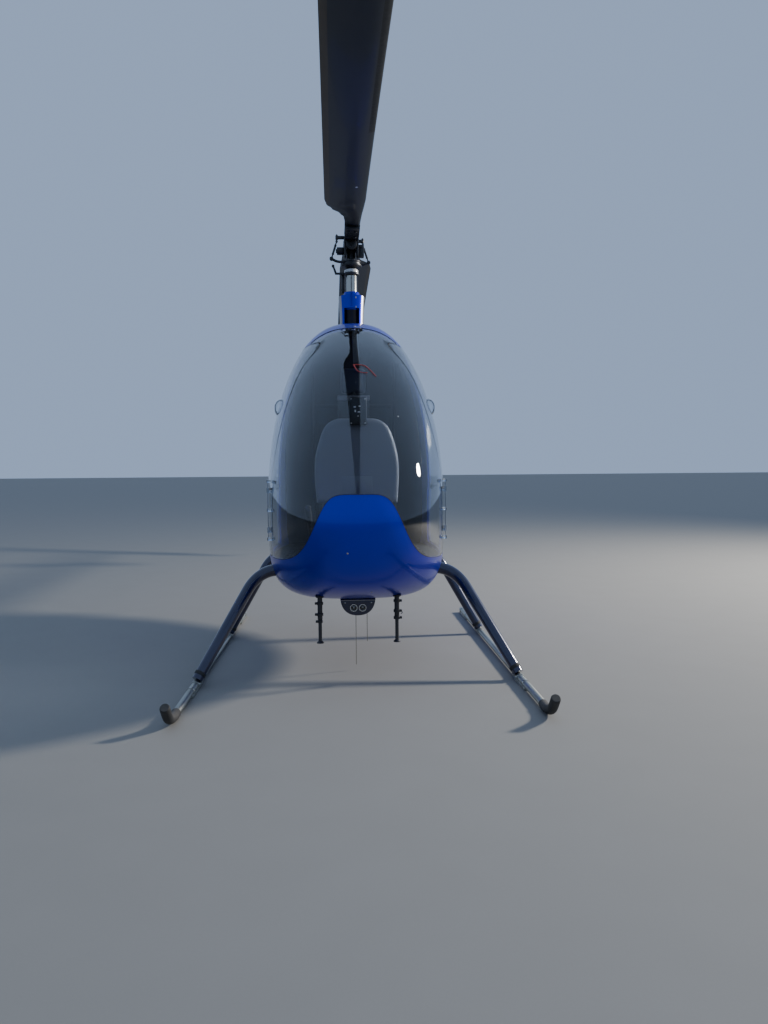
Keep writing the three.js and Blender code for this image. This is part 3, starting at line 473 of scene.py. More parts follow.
def on_side(side, station, z, proud=0):
    """A point on the pod's flank, standing proud of it by a little, and its outward direction."""
    slope_y, slope_z = slopes(pod_x, station, z, 4)
    return lifted((side * pod_x(station, z), station, z), (side, -slope_y, -slope_z), proud)


def on_nose(x, z, proud=0):
    """A point on the pod's front for an x and a height, and its outward direction."""
    slope_x, slope_z = slopes(pod_station, x, z, 3)
    return lifted((x, pod_station(x, z), z), (slope_x, -1, slope_z), proud)


def on_tail(x, z, proud=0):
    """A point on the pod's rear for an x and a height, and its outward direction."""
    slope_x, slope_z = slopes(tail_station, x, z, 3)
    return lifted((x, tail_station(x, z), z), (-slope_x, 1, -slope_z), proud)


def pod_section(station):
    """Corners of the pod's section at a station."""
    corners = []
    for c, s in around(POD_SIDES):
        waist, reach, roundness = pod_half(station, s >= 0)
        x, rise = (math.copysign(abs(v) ** (2 / roundness), v) for v in (c, s))
        corners.append((pod_value(HALF_WIDTH, station) * x, station, waist + abs(reach) * rise))
    return corners


def pod(bm):
    """The whole pod as one closed body."""
    shares = between(0, 1, POD_STEPS)[1:]
    rings = loft(bm, [pod_section(POD_END * (0.55 * t ** 2.2 + 0.45 * t)) for t in shares], caps=False)
    bmesh.ops.contextual_create(bm, geom=rings[-1])
    tip = bm.verts.new((0, 0, POD_SECTIONS[0][TOP]))
    for edge in rings[0]:
        bm.faces.new((tip, *edge.verts))


def pod_shell(wall):
    shell = solid(pod)
    modify(shell, "SOLIDIFY", thickness=wall, offset=-1, use_even_offset=True)
    return shell


def arch_height(x):
    return ARCH["base"] + ARCH["rise"] / (1 + (abs(x) / ARCH["half"]) ** ARCH["steep"])


def door_outline(margin):
    """The door in side view as (station, height), drawn in by the margin."""
    front, rear = DOOR["front"] + margin, DOOR["rear"] - margin
    sill, head = DOOR["sill"] + margin, DOOR["head"] - margin
    low, top, slant = sill + 64, head - 140, (690 + margin, 1440 - margin)
    return [
        (front, low), *bend((front, low), (front, sill), (front + 64, sill)),
        (rear - 64, sill), *bend((rear - 64, sill), (rear, sill), (rear, low)),
        (rear, top), *bend((rear, top), (rear, head), (rear - 140, head), steps=8),
        (880 + margin, head), *bend((880 + margin, head), (780 + margin, head), slant),
        *bend(slant, (front + 60, 1230 - margin), (front, 1000), steps=12),
    ]


# Shared shader groups

def wire(tree, *pairs):
    for source, target in pairs:
        tree.links.new(source, target)


def feed(socket, value):
    """Links a socket to another one or sets it, a colour given without its alpha."""
    if hasattr(value, "is_output"):
        socket.id_data.links.new(value, socket)
    elif hasattr(value, "__len__") and len(socket.default_value) == 4:
        socket.default_value = (*value[:3], 1)
    else:
        socket.default_value = value


def noise(tree, scale, detail, stretch=(1, 1, 1)):
    """A noise on Object coordinates, in one direction longer if stretched."""
    place, mapping, cloud = (tree.nodes.new(kind) for kind in (
        "ShaderNodeTexCoord", "ShaderNodeMapping", "ShaderNodeTexNoise"))
    mapping.inputs["Scale"].default_value = stretch
    cloud.inputs["Scale"].default_value = scale
    cloud.inputs["Detail"].default_value = detail
    wire(tree, (place.outputs["Object"], mapping.inputs["Vector"]),
         (mapping.outputs[0], cloud.inputs["Vector"]))
    return cloud.outputs["Fac"]


def combined(operation, first, second):
    node = first.id_data.nodes.new("ShaderNodeMath")
    node.operation = operation
    feed(node.inputs[0], first)
    feed(node.inputs[1], second)
    return node.outputs[0]


def plus(first, second):
    return combined("ADD", first, second)


def times(first, second):
    return combined("MULTIPLY", first, second)


def ramp(value, low, high):
    """The value's share between low and high, held at 0 and 1."""
    node = value.id_data.nodes.new("ShaderNodeMapRange")
    node.inputs["From Min"].default_value = low
    node.inputs["From Max"].default_value = high
    feed(node.inputs["Value"], value)
    return node.outputs["Result"]


def mixed(share, first, second):
    node = share.id_data.nodes.new("ShaderNodeMix")
    node.data_type = "RGBA"
    for name, value in (("Factor", share), ("A", first), ("B", second)):
        feed(next(s for s in node.inputs if s.name == name and s.enabled), value)
    return next(s for s in node.outputs if s.enabled)


def dust_film(tree, colour, roughness, dust_color, amount):
    """Road dust: gathers on faces that look up, and in soft patches."""
    normal, parts = tree.nodes.new("ShaderNodeNewGeometry"), tree.nodes.new("ShaderNodeSeparateXYZ")
    wire(tree, (normal.outputs["Normal"], parts.inputs[0]))
    facing = ramp(parts.outputs["Z"], -0.1, 1.0)
    share = times(times(plus(facing, 0.35), ramp(noise(tree, 7, 5), 0.35, 0.75)), amount)
    return mixed(share, colour, dust_color), plus(roughness, times(share, 0.9))


def mottle(tree, colour, second_color, amount):
    """Slow colour drift and fine speckle over a base colour."""
    slow, fine = ramp(noise(tree, 4.5, 3), 0.3, 0.7), ramp(noise(tree, 160, 2), 0.35, 0.8)
    share = times(plus(times(slow, 0.6), times(fine, 0.4)), amount)
    return mixed(share, colour, second_color), share


def grain(tree, coarse, roughness):
    """Fine moulded or cast grain, as a height and a roughness mask."""
    blotches = noise(tree, 70, 4)
    height = plus(noise(tree, 420, 2), times(blotches, coarse))
    return height, plus(roughness, times(plus(blotches, -0.5), 0.22))


def weave(tree, colour, thread_color):
    """A plain weave of warp and weft, by the piece's own coordinates."""
    place = tree.nodes.new("ShaderNodeTexCoord")
    waves = []
    for direction in ("X", "Z"):
        wave = tree.nodes.new("ShaderNodeTexWave")
        wave.bands_direction = direction
        wave.inputs["Scale"].default_value = 170
        wave.inputs["Distortion"].default_value = 0.6
        wave.inputs["Detail Scale"].default_value = 3
        wire(tree, (place.outputs["Object"], wave.inputs["Vector"]))
        waves.append(wave.outputs["Fac"])
    crossing = times(*waves)
    share = plus(times(crossing, 0.7), times(noise(tree, 14, 3), 0.35))
    return mixed(share, colour, thread_color), crossing


def drawn_metal(tree, roughness, amount):
    """Long fine scratches of brushed or drawn metal."""
    lines, blots = noise(tree, 60, 3, (9, 0.6, 9)), noise(tree, 9, 4)
    both = plus(times(lines, 0.5), times(blots, 0.5))
    return plus(roughness, times(plus(both, -0.42), amount)), lines


GREY = (0.5, 0.5, 0.5)
# Groups. Columns: function, inputs with their defaults, outputs
SHARED_GROUPS = (
    (dust_film, {"Color": GREY, "Roughness": 0.3, "Dust Color": (0.32, 0.29, 0.25), "Amount": 0.1},
     ("Color", "Roughness")),
    (mottle, {"Color": GREY, "Second Color": GREY, "Amount": 0.5}, ("Color", "Mask")),
    (grain, {"Coarse": 0.3, "Roughness": 0.5}, ("Height", "Roughness")),
    (weave, {"Color": GREY, "Thread Color": GREY}, ("Color", "Height")),
    (drawn_metal, {"Roughness": 0.25, "Amount": 0.2}, ("Roughness", "Height")),
)
GROUPS = {}
MATERIALS = {}


def make_groups():
    for build, inputs, outputs in SHARED_GROUPS:
        tree = bpy.data.node_groups.new(build.__name__.replace("_", " ").title(), "ShaderNodeTree")
        for label, value in inputs.items():
            kind = "NodeSocketColor" if hasattr(value, "__len__") else "NodeSocketFloat"
            feed(tree.interface.new_socket(label, in_out="INPUT", socket_type=kind), value)
        for label in outputs:
            kind = "NodeSocketColor" if label == "Color" else "NodeSocketFloat"
            tree.interface.new_socket(label, in_out="OUTPUT", socket_type=kind)
        start, end = tree.nodes.new("NodeGroupInput"), tree.nodes.new("NodeGroupOutput")
        wire(tree, *zip(build(tree, *start.outputs[:-1]), end.inputs))
        GROUPS[build.__name__] = tree


def place_group(tree, key, *values):
    """One of the shared groups with its input values in order. Gives its outputs."""
    node = tree.nodes.new("ShaderNodeGroup")
    node.node_tree = GROUPS[key]
    for socket, value in zip(node.inputs, values):
        feed(socket, value)
    return node.outputs


def new_material(name, **values):
    """A Principled material with plain values on its own sockets."""
    material = bpy.data.materials.new(name)
    material.use_nodes = True
    shader = material.node_tree.nodes["Principled BSDF"]
    for label, value in values.items():
        feed(shader.inputs[label.replace("_", " ")], value)
    MATERIALS[name] = material
    return material.node_tree, shader


def dress(tree, shader, colour, roughness, dust, height, strength, distance):
    """Lays the dust film over a colour and a roughness, and the bump under them."""
    film = place_group(tree, "dust_film", colour, roughness, (0.32, 0.29, 0.25), dust)
    node = tree.nodes.new("ShaderNodeBump")
    node.inputs["Strength"].default_value = strength
    node.inputs["Distance"].default_value = distance
    wire(tree, (film["Color"], shader.inputs["Base Color"]), (film["Roughness"], shader.inputs["Roughness"]),
         (height, node.inputs["Height"]), (node.outputs["Normal"], shader.inputs["Normal"]))


def tint(colour, share):
    return tuple(c * share for c in colour)


def paint(name, colour, deep, rough=0.16, metal=0.0, dust=0.05, coat=1.0):
    """Glossy lacquered paint: slow drift of tone, faint orange peel and a film of dust."""
    tree, shader = new_material(name, Metallic=metal, Coat_Weight=coat, Coat_Roughness=0.04, Coat_IOR=1.5)
    drift = place_group(tree, "mottle", colour, deep, 0.55)
    dress(tree, shader, drift["Color"], rough, dust, noise(tree, 55, 2), 0.03, 0.002)


def moulded(name, colour, second, rough=0.5, coarse=0.4, strength=0.12, dust=0.06):
    """Moulded plastic, rubber or composite with a fine grain."""
    tree, shader = new_material(name)
    drift = place_group(tree, "mottle", colour, second, 0.6)
    fine = place_group(tree, "grain", coarse, rough)
    dress(tree, shader, drift["Color"], fine["Roughness"], dust, fine["Height"], strength, 0.0006)


def metal(name, colour, second, rough=0.25, amount=0.25, metallic=1.0, dust=0.03, strength=0.06):
    """Bare metal with drawing lines, blotches and a little grime."""
    tree, shader = new_material(name, Metallic=metallic)
    drift = place_group(tree, "mottle", colour, second, 0.7)
    lines = place_group(tree, "drawn_metal", rough, amount)
    dress(tree, shader, drift["Color"], lines["Roughness"], dust, lines["Height"], strength, 0.0004)


def cloth(name, colour, thread):
    """Woven cover with a soft sheen."""
    tree, shader = new_material(name, Sheen_Weight=0.35, Sheen_Roughness=0.5)
    threads = place_group(tree, "weave", colour, thread)
    dress(tree, shader, threads["Color"], 0.86, 0.05, threads["Height"], 0.35, 0.0006)


def clear(name, colour, shadow, marks, rough=0.015):
    """Clear sheet that lets light fall through to what is behind it."""
    tree, shader = new_material(name, Base_Color=colour, Transmission_Weight=1.0, IOR=1.49)
    haze = place_group(tree, "dust_film", GREY, rough, GREY, marks)
    through, path, mix = (tree.nodes.new(kind) for kind in (
        "ShaderNodeBsdfTransparent", "ShaderNodeLightPath", "ShaderNodeMixShader"))
    through.inputs["Color"].default_value = (*shadow, 1)
    wire(tree, (haze["Roughness"], shader.inputs["Roughness"]),
         (path.outputs["Is Shadow Ray"], mix.inputs[0]),
         (shader.outputs["BSDF"], mix.inputs[1]), (through.outputs[0], mix.inputs[2]),
         (mix.outputs[0], tree.nodes["Material Output"].inputs["Surface"]))


def make_materials():
    s = settings()
    blue, legs, blade, grey = (tuple(c) for c in (s.hull_paint, s.leg_paint, s.blade_grey, s.pod_grey))
    paint("Cobalt paint", blue, tint(blue, 0.8), rough=0.3, metal=0.55, dust=0.008, coat=0.35)
    paint("Leg paint", legs, tint(legs, 0.6), rough=0.2, metal=0.25)
    paint("Blade paint", blade, tint(blade, 0.7), rough=0.4, dust=0.04, coat=0.15)
    paint("Blade edge", (0.06, 0.048, 0.032), (0.04, 0.034, 0.025), rough=0.42, coat=0.15)
    paint("White mark", (0.75, 0.76, 0.76), (0.6, 0.61, 0.6), rough=0.4, coat=0.3)
    clear("Clear acrylic", (0.86, 0.9, 0.95), (0.45, 0.49, 0.55), 0.03)
    clear("Lamp glass", (0.96, 0.97, 0.98), (0.95, 0.95, 0.95), 0.06)
    moulded("Pod grey", grey, tint(grey, 0.86), rough=0.42, strength=0.05, dust=0.04)
    moulded("Interior black", (0.012, 0.013, 0.016), (0.022, 0.023, 0.027), rough=0.55)
    moulded("Panel black", (0.01, 0.011, 0.013), (0.016, 0.017, 0.02), rough=0.34, strength=0.04)
    moulded("Seal rubber", (0.012, 0.012, 0.013), (0.03, 0.03, 0.03), rough=0.7, strength=0.2, dust=0.1)
    moulded("Toe rubber", (0.014, 0.014, 0.015), (0.045, 0.043, 0.04), 0.62, 1.2, 0.3, dust=0.3)
    moulded("Floor lining", (0.03, 0.031, 0.034), (0.055, 0.055, 0.058), 0.85, 1.5, 0.4, dust=0.12)
    moulded("Erosion strip", (0.008, 0.008, 0.009), (0.02, 0.02, 0.02), strength=0.1)
    metal("Bright steel", (0.5, 0.49, 0.44), (0.42, 0.41, 0.37), rough=0.17, amount=0.2)
    metal("Skid tube", (0.5, 0.51, 0.48), (0.3, 0.31, 0.27), rough=0.36, amount=0.4, dust=0.16)
    metal("Satin alloy", (0.4, 0.38, 0.37), (0.3, 0.28, 0.26), rough=0.28)
    metal("Cast alloy", (0.4, 0.41, 0.42), (0.28, 0.29, 0.3), rough=0.5, amount=0.3, strength=0.2)
    metal("Dark steel", (0.035, 0.036, 0.04), (0.09, 0.09, 0.095), rough=0.36, amount=0.3, metallic=0.75)
    metal("Exhaust steel", (0.42, 0.35, 0.27), (0.16, 0.12, 0.15), rough=0.4, amount=0.5)
    metal("Reflector", (0.85, 0.86, 0.87), (0.7, 0.71, 0.72), rough=0.1, amount=0.05)
    cloth("Cushion cloth", tuple(s.seat_cloth), (0.035, 0.048, 0.085))
    cloth("Belt webbing", (0.02, 0.021, 0.024), (0.05, 0.052, 0.056))
    cloth("Red cord", (0.55, 0.012, 0.018), (0.7, 0.05, 0.05))
    tree, shader = new_material("Screen glass", Roughness=0.06, Coat_Weight=0.6, Coat_Roughness=0.03)
    drift = place_group(tree, "mottle", (0.012, 0.016, 0.024), (0.02, 0.028, 0.04), 1.0)
    wire(tree, (drift["Color"], shader.inputs["Base Color"]))
    tree, shader = new_material("Pale floor", Roughness=0.9)
    drift = place_group(tree, "mottle", (0.28, 0.272, 0.255), (0.255, 0.247, 0.23), 0.5)
    wire(tree, (drift["Color"], shader.inputs["Base Color"]))


# Pod panels

INTAKE = ((1480, 1210), (1700, 1230), (1722, 1262), (1716, 1290), (1690, 1310), (1500, 1300))
OUTLET = {"z": 800, "x": 150, "rise": 115, "front": 1750}


def panel(name, shell, finish, slot, replaces, *steps, body="airframe"):
    """A panel cut out of the pod's shell, with smooth faces and crisp rims."""
    obj = bpy.data.objects.new(name, shell.data.copy())
    bpy.context.scene.collection.objects.link(obj)
    carve(obj, *steps)
    bm = into_bmesh(obj)
    bmesh.ops.dissolve_degenerate(bm, dist=1e-3, edges=bm.edges)
    piece(name, bm, finish, slot, replaces, body, angle=32, recalc=False)


def arch_outline(extra):
    reach = 480
    return [(-reach, 0), *((x, arch_height(x) + extra) for x in between(-reach, reach, 72)), (reach, 0)]


def outlet_outline():
    return [(OUTLET["x"] * c, OUTLET["z"] + OUTLET["rise"] * s) for c, s in around(40)]


def make_pod_panels():
    gap, wide = 1, 600
    start, belly_end = -20, BELLY_END
    roof_front, roof_rear, lower = ROOF["front"], ROOF["rear"], ROOF["lower"]
    shell, clear_shell = pod_shell(WALL), pod_shell(PANE_WALL)
    below = solid(slab, arch_outline(0), "Y", start, belly_end)
    below_wide = solid(slab, arch_outline(0.8), "Y", start, belly_end + gap)
    ahead = solid(box, (-wide, start, 0), (wide, roof_front, 2500))
    behind = solid(box, (-wide, roof_front + gap, 0), (wide, 2525, 2500))
    roof = solid(box, (-wide, roof_front + gap, lower), (wide, roof_rear, 2500))
    roof_wide = solid(box, (-wide, roof_front - 10, lower - gap), (wide, roof_rear + gap, 2500))
    doorways = solid(slab, door_outline(-settings().seam / MM), "X", -wide, wide)
    intake = solid(slab, INTAKE, "X", -wide, wide)
    outlet = solid(slab, outlet_outline(), "Y", OUTLET["front"], 2525)
    mast_hole = solid(rod, (0, MAST_Y, 1500), (0, MAST_Y, 2000), 47.5, sides=32)
    cowl_cuts = [("-", tool) for tool in (below_wide, roof_wide, doorways, intake, outlet, mast_hole)]

    skin, sheet = (shell, "Cobalt paint", "blue_paint"), (clear_shell, "Clear acrylic", "clear_acrylic")
    panel("hull_lower", *skin, "lower_hull", ("&", below), ("-", doorways))
    panel("windshield_clear", *sheet, "windshield", ("-", below_wide), ("&", ahead), ("-", doorways))
    panel("roof_skin", *skin, "roof_panel", ("&", roof), ("-", doorways))
    panel("cowl_skin", *skin, "aft_cowl", ("&", behind), *cowl_cuts)
    for word, side in SIDES:
        whole = solid(slab, door_outline(0), "X", 0, side * wide)
        nodes = (f"door_pane_{word}", f"door_frame_{word}")
        panel(f"door_window_{word}", *sheet, nodes, ("&", whole), body=f"door_{word}")
        discard(whole)
    discard(shell, clear_shell, ahead, behind, below, roof, *(tool for _, tool in cowl_cuts))


class HELI_OT_pod_panels(Operator):
    """Cuts the hull, windshield, roof panel, rear cowl and doors from one smooth egg-shaped shell"""

    bl_idname = "heli.pod_panels"
    bl_label = "Pod panels and doors"

    def execute(self, context):
        make_pod_panels()
        return {"FINISHED"}


# Canopy trim

HINGE = {"x": 402, "y": 431, "barrel": 7, "heights": (680, 860), "half": 12}
LEAF_HEIGHTS = (640, 770, 900)
SCOOP = {"x": 362, "station": 760, "z": 1255, "size": (35, 65, 45), "mouth": 722}
LATCH = {"station": 1085, "z": 860}
STRINGS = {
    "short": ((-8, 1431), (0, 1414), (8, 1400), (24, 1392), (40, 1389.5), (53, 1390)),
    "long": ((-8, 1431), (8, 1434), (41, 1428), (60, 1412), (76, 1392), (91, 1372)),
}


def flank_seam(side, first, last, drop=0, proud=0):
    """Places and outward directions along the seam between hull and canopy on one flank."""
    return [on_side(side, station, arch_height(pod_x(station, ARCH["base"])) - drop, proud)
            for station in between(first, last, max(round((last - first) / 20), 1))]


def spread(path, pitch):
    """Places and directions at an even pitch along a path of such pairs."""
    found, rest = [], pitch / 2
    for (here, outward), (there, _) in zip(path, path[1:]):
        length = (there - here).length
        while rest < length:
            found.append((here.lerp(there, rest / length), outward))
            rest += pitch
        rest -= length
    return found


def make_seals():
    s = settings()
    seam, bead, head, pitch = (length / MM for length in (s.seam, s.bead, s.screw, s.screw_pitch))
    bm = bmesh.new()
    nose = [on_nose(x, arch_height(x), -0.6)[0] for x in between(-360, 360, 72)]
    flank = flank_seam(1, nose[-1].y + 10, DOOR["front"] - 10, proud=-0.6)
    flank = [place for place, _ in flank]
    tube(bm, mirrored(flank) + nose + flank, bead * 0.6, 8)
    for _, side in SIDES:
        rear = flank_seam(side, DOOR["rear"] + 12, BELLY_END, proud=-1)
        tube(bm, [place for place, _ in rear], bead * 0.5, 8)
    rim = [(x, ROOF["front"], pod_z(x, ROOF["front"])) for x in between(0, 440, 24)]
    rim = [place for place in rim if place[2] > DOOR["head"] + 8]
    tube(bm, mirrored(rim) + rim[1:], bead * 0.7, 8)
    piece("panel_seals", bm, "Seal rubber", "black_rubber")
    for word, side in SIDES:
        bm = bmesh.new()
        outline = evened(door_outline(-seam * 0.5), 16)
        tube(bm, [on_side(side, *p, -bead * 1.4)[0] for p in outline], bead * 0.8, 8, closed=True)
        piece(f"door_seal_{word}", bm, "Seal rubber", "black_rubber")

    bm = bmesh.new()
    for _, side in SIDES:
        for drop in (16, -14):
            for place, outward in spread(flank_seam(side, 1190, 1580, drop), pitch):
                screw(bm, place, outward, head)
        for shift in (-14, 16):
            spots = [(ROOF["rear"] + shift, z) for z in (1470, 1530, 1590, 1650, 1700)]
            spots += [(DOOR["rear"] + 30 + 45 * k, ROOF["lower"] + shift) for k in range(4)]
            for spot in spots:
                screw(bm, *on_side(side, *spot), head)
    for x, z, radius in ((-49, 612, 4.2), (54, 423, 4.8)):
        screw(bm, *on_nose(x, z), radius)
    piece("panel_screws", bm, "Bright steel", "bare_steel")


class HELI_OT_seals(Operator):
    """Runs rubber seals round the canopy and the doors and sets the screws of the fixed panels"""

    bl_idname = "heli.seals"
    bl_label = "Seals and panel screws"

    def execute(self, context):
        make_seals()
        return {"FINISHED"}


def make_canopy_fittings():
    spots = [(station, pod_z(0, station) - 10.5) for station in between(545, 930, 24)]
    corners = ((-9.5, -3), (17.5, -3), (17.5, 3), (-9.5, 3))
    strip = made(loft, [[(x, y, z + rise) for x, rise in corners] for y, z in spots])
    piece("overhead_strip", strip, "Panel black", "black_plastic", bevel=1.5)

    bm = bmesh.new()
    for x, y, half in ((-34, 925, 8), (-16, 930, 6), (18, 935, 7), (36, 925, 8)):
        z = pod_z(x, y)
        box(bm, (x - half, y - 10, z - 16), (x + half, y + 10, z + 3), 2)
        screw(bm, (x, y - 4, z + 3), (0, -0.4, 1), 3.5)
    y, z = 928, pod_z(40, 928) - 12
    rod(bm, (-45, y, z), (45, y, z), 5)
    piece("canopy_bracket", bm, "Panel black", "black_plastic")
    bm = made(screw, (8, 985, pod_z(8, 985)), (0, -0.3, 1), 6)
    # The white dome on the canopy's flank is a painted glint, not a fitting
    screw(bm, *on_nose(179, 1180), 3)
    piece("roof_button_and_painted_glint", bm, "White mark", "pale_grey")

    knot = on_nose(*STRINGS["long"][0], 2)[0]
    piece("string_knot", made(ball, knot, 3.5), "Red cord", "cushion")
    for word, marks in STRINGS.items():
        route = spline([on_nose(x, z, 1.9)[0] for x, z in marks], 6)
        cord = piece(f"yaw_string_{word}", made(tube, route, 1.5, 8), "Red cord", "cushion", angle=60)
        route = [PLACE @ point for point in route]


class HELI_OT_canopy_fittings(Operator):
    """Adds the overhead strip with its bracket, the yaw string, a button on the roof and a white dot on the
    canopy that is a painted glint
    """

    bl_idname = "heli.canopy_fittings"
    bl_label = "Canopy strip and yaw string"

    def execute(self, context):
        make_canopy_fittings()
        return {"FINISHED"}


def make_doors():
    whole = solid(pod)
    hinge_y, barrel = HINGE["y"], HINGE["barrel"]
    for word, side in SIDES:
        outward, x = (side, 0, 0), side * HINGE["x"]
        finish, body = ("Clear acrylic", "clear_acrylic"), f"door_{word}"
        bm = bmesh.new()
        for z in HINGE["heights"]:
            low, high = z - HINGE["half"], z + HINGE["half"]
            band(bm, 4.2, barrel, low, high, (x, hinge_y, 0), soft=0.8, steps=28)
            box(bm, (side * 393.5, hinge_y + 3, low), (side * 400.5, hinge_y + 26, high), 1.5)
            for shift in (-6, 6):
                screw(bm, (side * 400.5, hinge_y + 18, z + shift), outward, 2.8)
        piece(f"door_hinges_{word}", bm, *finish, body=body)

        bm = bmesh.new()
        base, out = on_side(side, LATCH["station"], LATCH["z"])
        rod(bm, base - out * 12, base + out * 6, 16, soft=1.5)
        grip = [base + out * rise + Vector((0, back, lift)) for rise, back, lift in (
            (4, 0, 0), (16, -12, 0), (18, -45, 3), (16, -75, 6))]
        tube(bm, spline(grip, 6), 5.5, 14)
        ball(bm, grip[-1], 7.2)
        piece(f"door_latch_{word}", bm, "Panel black", "black_plastic", body=body)

        middle = Vector((side * SCOOP["x"], SCOOP["station"], SCOOP["z"]))
        scoop = solid(ball, middle, SCOOP["size"], 48)
        modify(scoop, "SOLIDIFY", thickness=2.8, offset=-1)
        rear = SCOOP["mouth"] - SCOOP["station"]
        mouth = solid(box, middle - Vector((200, 300, 200)), middle + Vector((200, rear, 200)))
        carve(scoop, ("-", whole), ("-", mouth))
        piece(f"air_scoop_{word}", into_bmesh(scoop, mouth), *finish, body=body, recalc=False)

        bm = bmesh.new()
        bmesh.ops.create_grid(bm, x_segments=3, y_segments=12, size=1)
        for vert in bm.verts:
            station = 404.25 + 12.25 * vert.co.x
            vert.co = on_side(side, station, 770 + 137 * vert.co.y, 0.6)[0]
        bmesh.ops.recalc_face_normals(bm, faces=bm.faces)
        bmesh.ops.solidify(bm, geom=bm.faces[:], thickness=-1.2 * side)
        for z in LEAF_HEIGHTS:
            low, high = z - 7, z + 7
            box(bm, (side * 388, hinge_y - 24, low), (side * 406.5, hinge_y - 3, high), 2)
            rod(bm, (x, hinge_y, low), (x, hinge_y, high), barrel, soft=0.8)
            screw(bm, (side * 406.5, hinge_y - 16, z), outward, 3)
        rod(bm, (x, hinge_y, 634), (x, hinge_y, 906), 3, sides=16)
        piece(f"hinge_leaf_{word}", bm, *finish, f"hinge_strip_{word}")
    discard(whole)


class HELI_OT_doors(Operator):
    """Adds hinges, latches and air scoops to both clear doors"""

    bl_idname = "heli.doors"
    bl_label = "Door fittings"

    def execute(self, context):
        make_doors()
        return {"FINISHED"}


def make_cowl_details():
    bm, rims = bmesh.new(), bmesh.new()
    for _, side in SIDES:
        for k in range(6):
            rear = 1708 if k in (2, 3) else 1696
            slat = between(1484 + 3.2 * k, rear, 12)
            tube(bm, [on_side(side, station, 1222 + 14.5 * k, -7)[0] for station in slat], 2.4, 10)
        for station in (1540, 1600, 1660):
            tube(bm, [on_side(side, station, z, -9.5)[0] for z in between(1214, 1306, 8)], 2, 8)
        tube(rims, [on_side(side, *p, 0.5)[0] for p in evened(INTAKE, 10)], 3, 8, closed=True)
    z, half_x, rise = OUTLET["z"], OUTLET["x"], OUTLET["rise"]
    for x in between(-128, 128, 8):
        half = rise * math.sqrt(1 - (x / half_x) ** 2)
        tube(bm, [on_tail(x, height, -10)[0] for height in between(z - half, z + half, 10)], 1.6, 8)
    for shift in between(-92.5, 92.5, 5):
        half = half_x * math.sqrt(1 - (shift / rise) ** 2)
        if abs(z + shift - 745) > 30:
            tube(bm, [on_tail(x, z + shift, -13.5)[0] for x in between(-half, half, 10)], 1.6, 8)
    piece("cowl_grilles", bm, "Dark steel", "black_metal")
    outline = evened(outlet_outline(), 12)
    tube(rims, [on_tail(*p, 0.5)[0] for p in outline], 3.5, 8, closed=True)
    piece("cowl_rims", rims, "Seal rubber", "black_rubber")


class HELI_OT_cowl_details(Operator):
    """Fills the cowl intakes with louvres and rims the intakes and the rear outlet"""

    bl_idname = "heli.cowl_details"
    bl_label = "Cowl grilles and rims"

    def execute(self, context):
        make_cowl_details()
        return {"FINISHED"}


# Rotor, modelled about the mast

ROTOR_TURN = math.radians(0.7)
BLADE_Z = 2318
TEETER_Z = 2241
HORN_Y = 34
BLADE_DROOP = 130
ROTOR_RADIUS = 3100

# Blade planform. Columns: distance from the mast, trailing edge and
# leading edge from the pitch axis, thickness
BLADE_PLAN = (
    (79, 40, 44, 28), (300, 42, 46, 28), (380, 48, 48, 28), (440, 70, 50, 27), (510, 112, 54, 26),
    (580, 141, 57, 25), (660, 150, 60, 24), (900, 150, 60, 24), (2000, 150, 60, 24),
    (3060, 150, 60, 23), (3100, 144, 50, 16),
)
EROSION_START = 1500


def at_mast(bm, turn=0.0):
    """Moves a mesh that was modelled about the mast to its place."""
    place = Matrix.Translation((0, MAST_Y, 0)) @ Matrix.Rotation(turn, 4, "Z")
    bmesh.ops.transform(bm, verts=bm.verts, matrix=place)
    return bm


def rotor_piece(name, bm, finish, slot, replaces=(), body="seesaw_head", **options):
    """A piece of the rotor, at the angle at which the rotor is parked."""
    piece(name, at_mast(bm, ROTOR_TURN), finish, slot, replaces, body, **options)


def table_value(table, column, key):
    """A smooth value of a column of a table, by its first column."""
    keys = [row[0] for row in table]
    i = max(min(sum(k <= key for k in keys) - 1, len(keys) - 2), 0)
    t = min(max((key - keys[i]) / (keys[i + 1] - keys[i]), 0), 1)
    t = t * t * (3 - 2 * t)
    return table[i][column] * (1 - t) + table[i + 1][column] * t


def droop(radius):
    return BLADE_DROOP * (radius / ROTOR_RADIUS) ** 2


def aerofoil(half, upper=1.0, lower=-1.0):
    """A symmetrical section as (share of chord, share of thickness), over the top and back below."""
    points = []
    for k in range(2 * half):
        t = (1 - math.cos(math.pi * min(k, 2 * half - k) / half)) / 2
        shape = 2.969 * math.sqrt(t) - 1.26 * t - 3.516 * t ** 2 + 2.843 * t ** 3 - 1.015 * t ** 4
        points.append((t, max(0.5 * shape, 0.012) * (upper if k <= half else lower)))
    return points


def blade(side):
    """A drooping blade, its erosion strip and trailing edge in their own finishes."""
    sections = []
    for radius in (79, 200, *between(300, 680, 19), 800, *between(1000, 2900, 19),
                   3020, 3060, 3080, 3093, ROTOR_RADIUS):
        trailing, leading, thickness = (table_value(BLADE_PLAN, column, radius) for column in (1, 2, 3))
        z, chord = BLADE_Z - droop(radius), leading + trailing
        sections.append([(side * (t * chord - leading), side * radius, z + rise * thickness)
                         for t, rise in aerofoil(22, 1.08, -0.92)])
    bm = made(loft, sections)
    for face in bm.faces:
        middle = face.calc_center_median() * side
        if middle.x < -30 and middle.y > EROSION_START:
            face.material_index = 1
        elif middle.x > 128 and middle.y > 550:
            face.material_index = 2
    return bm


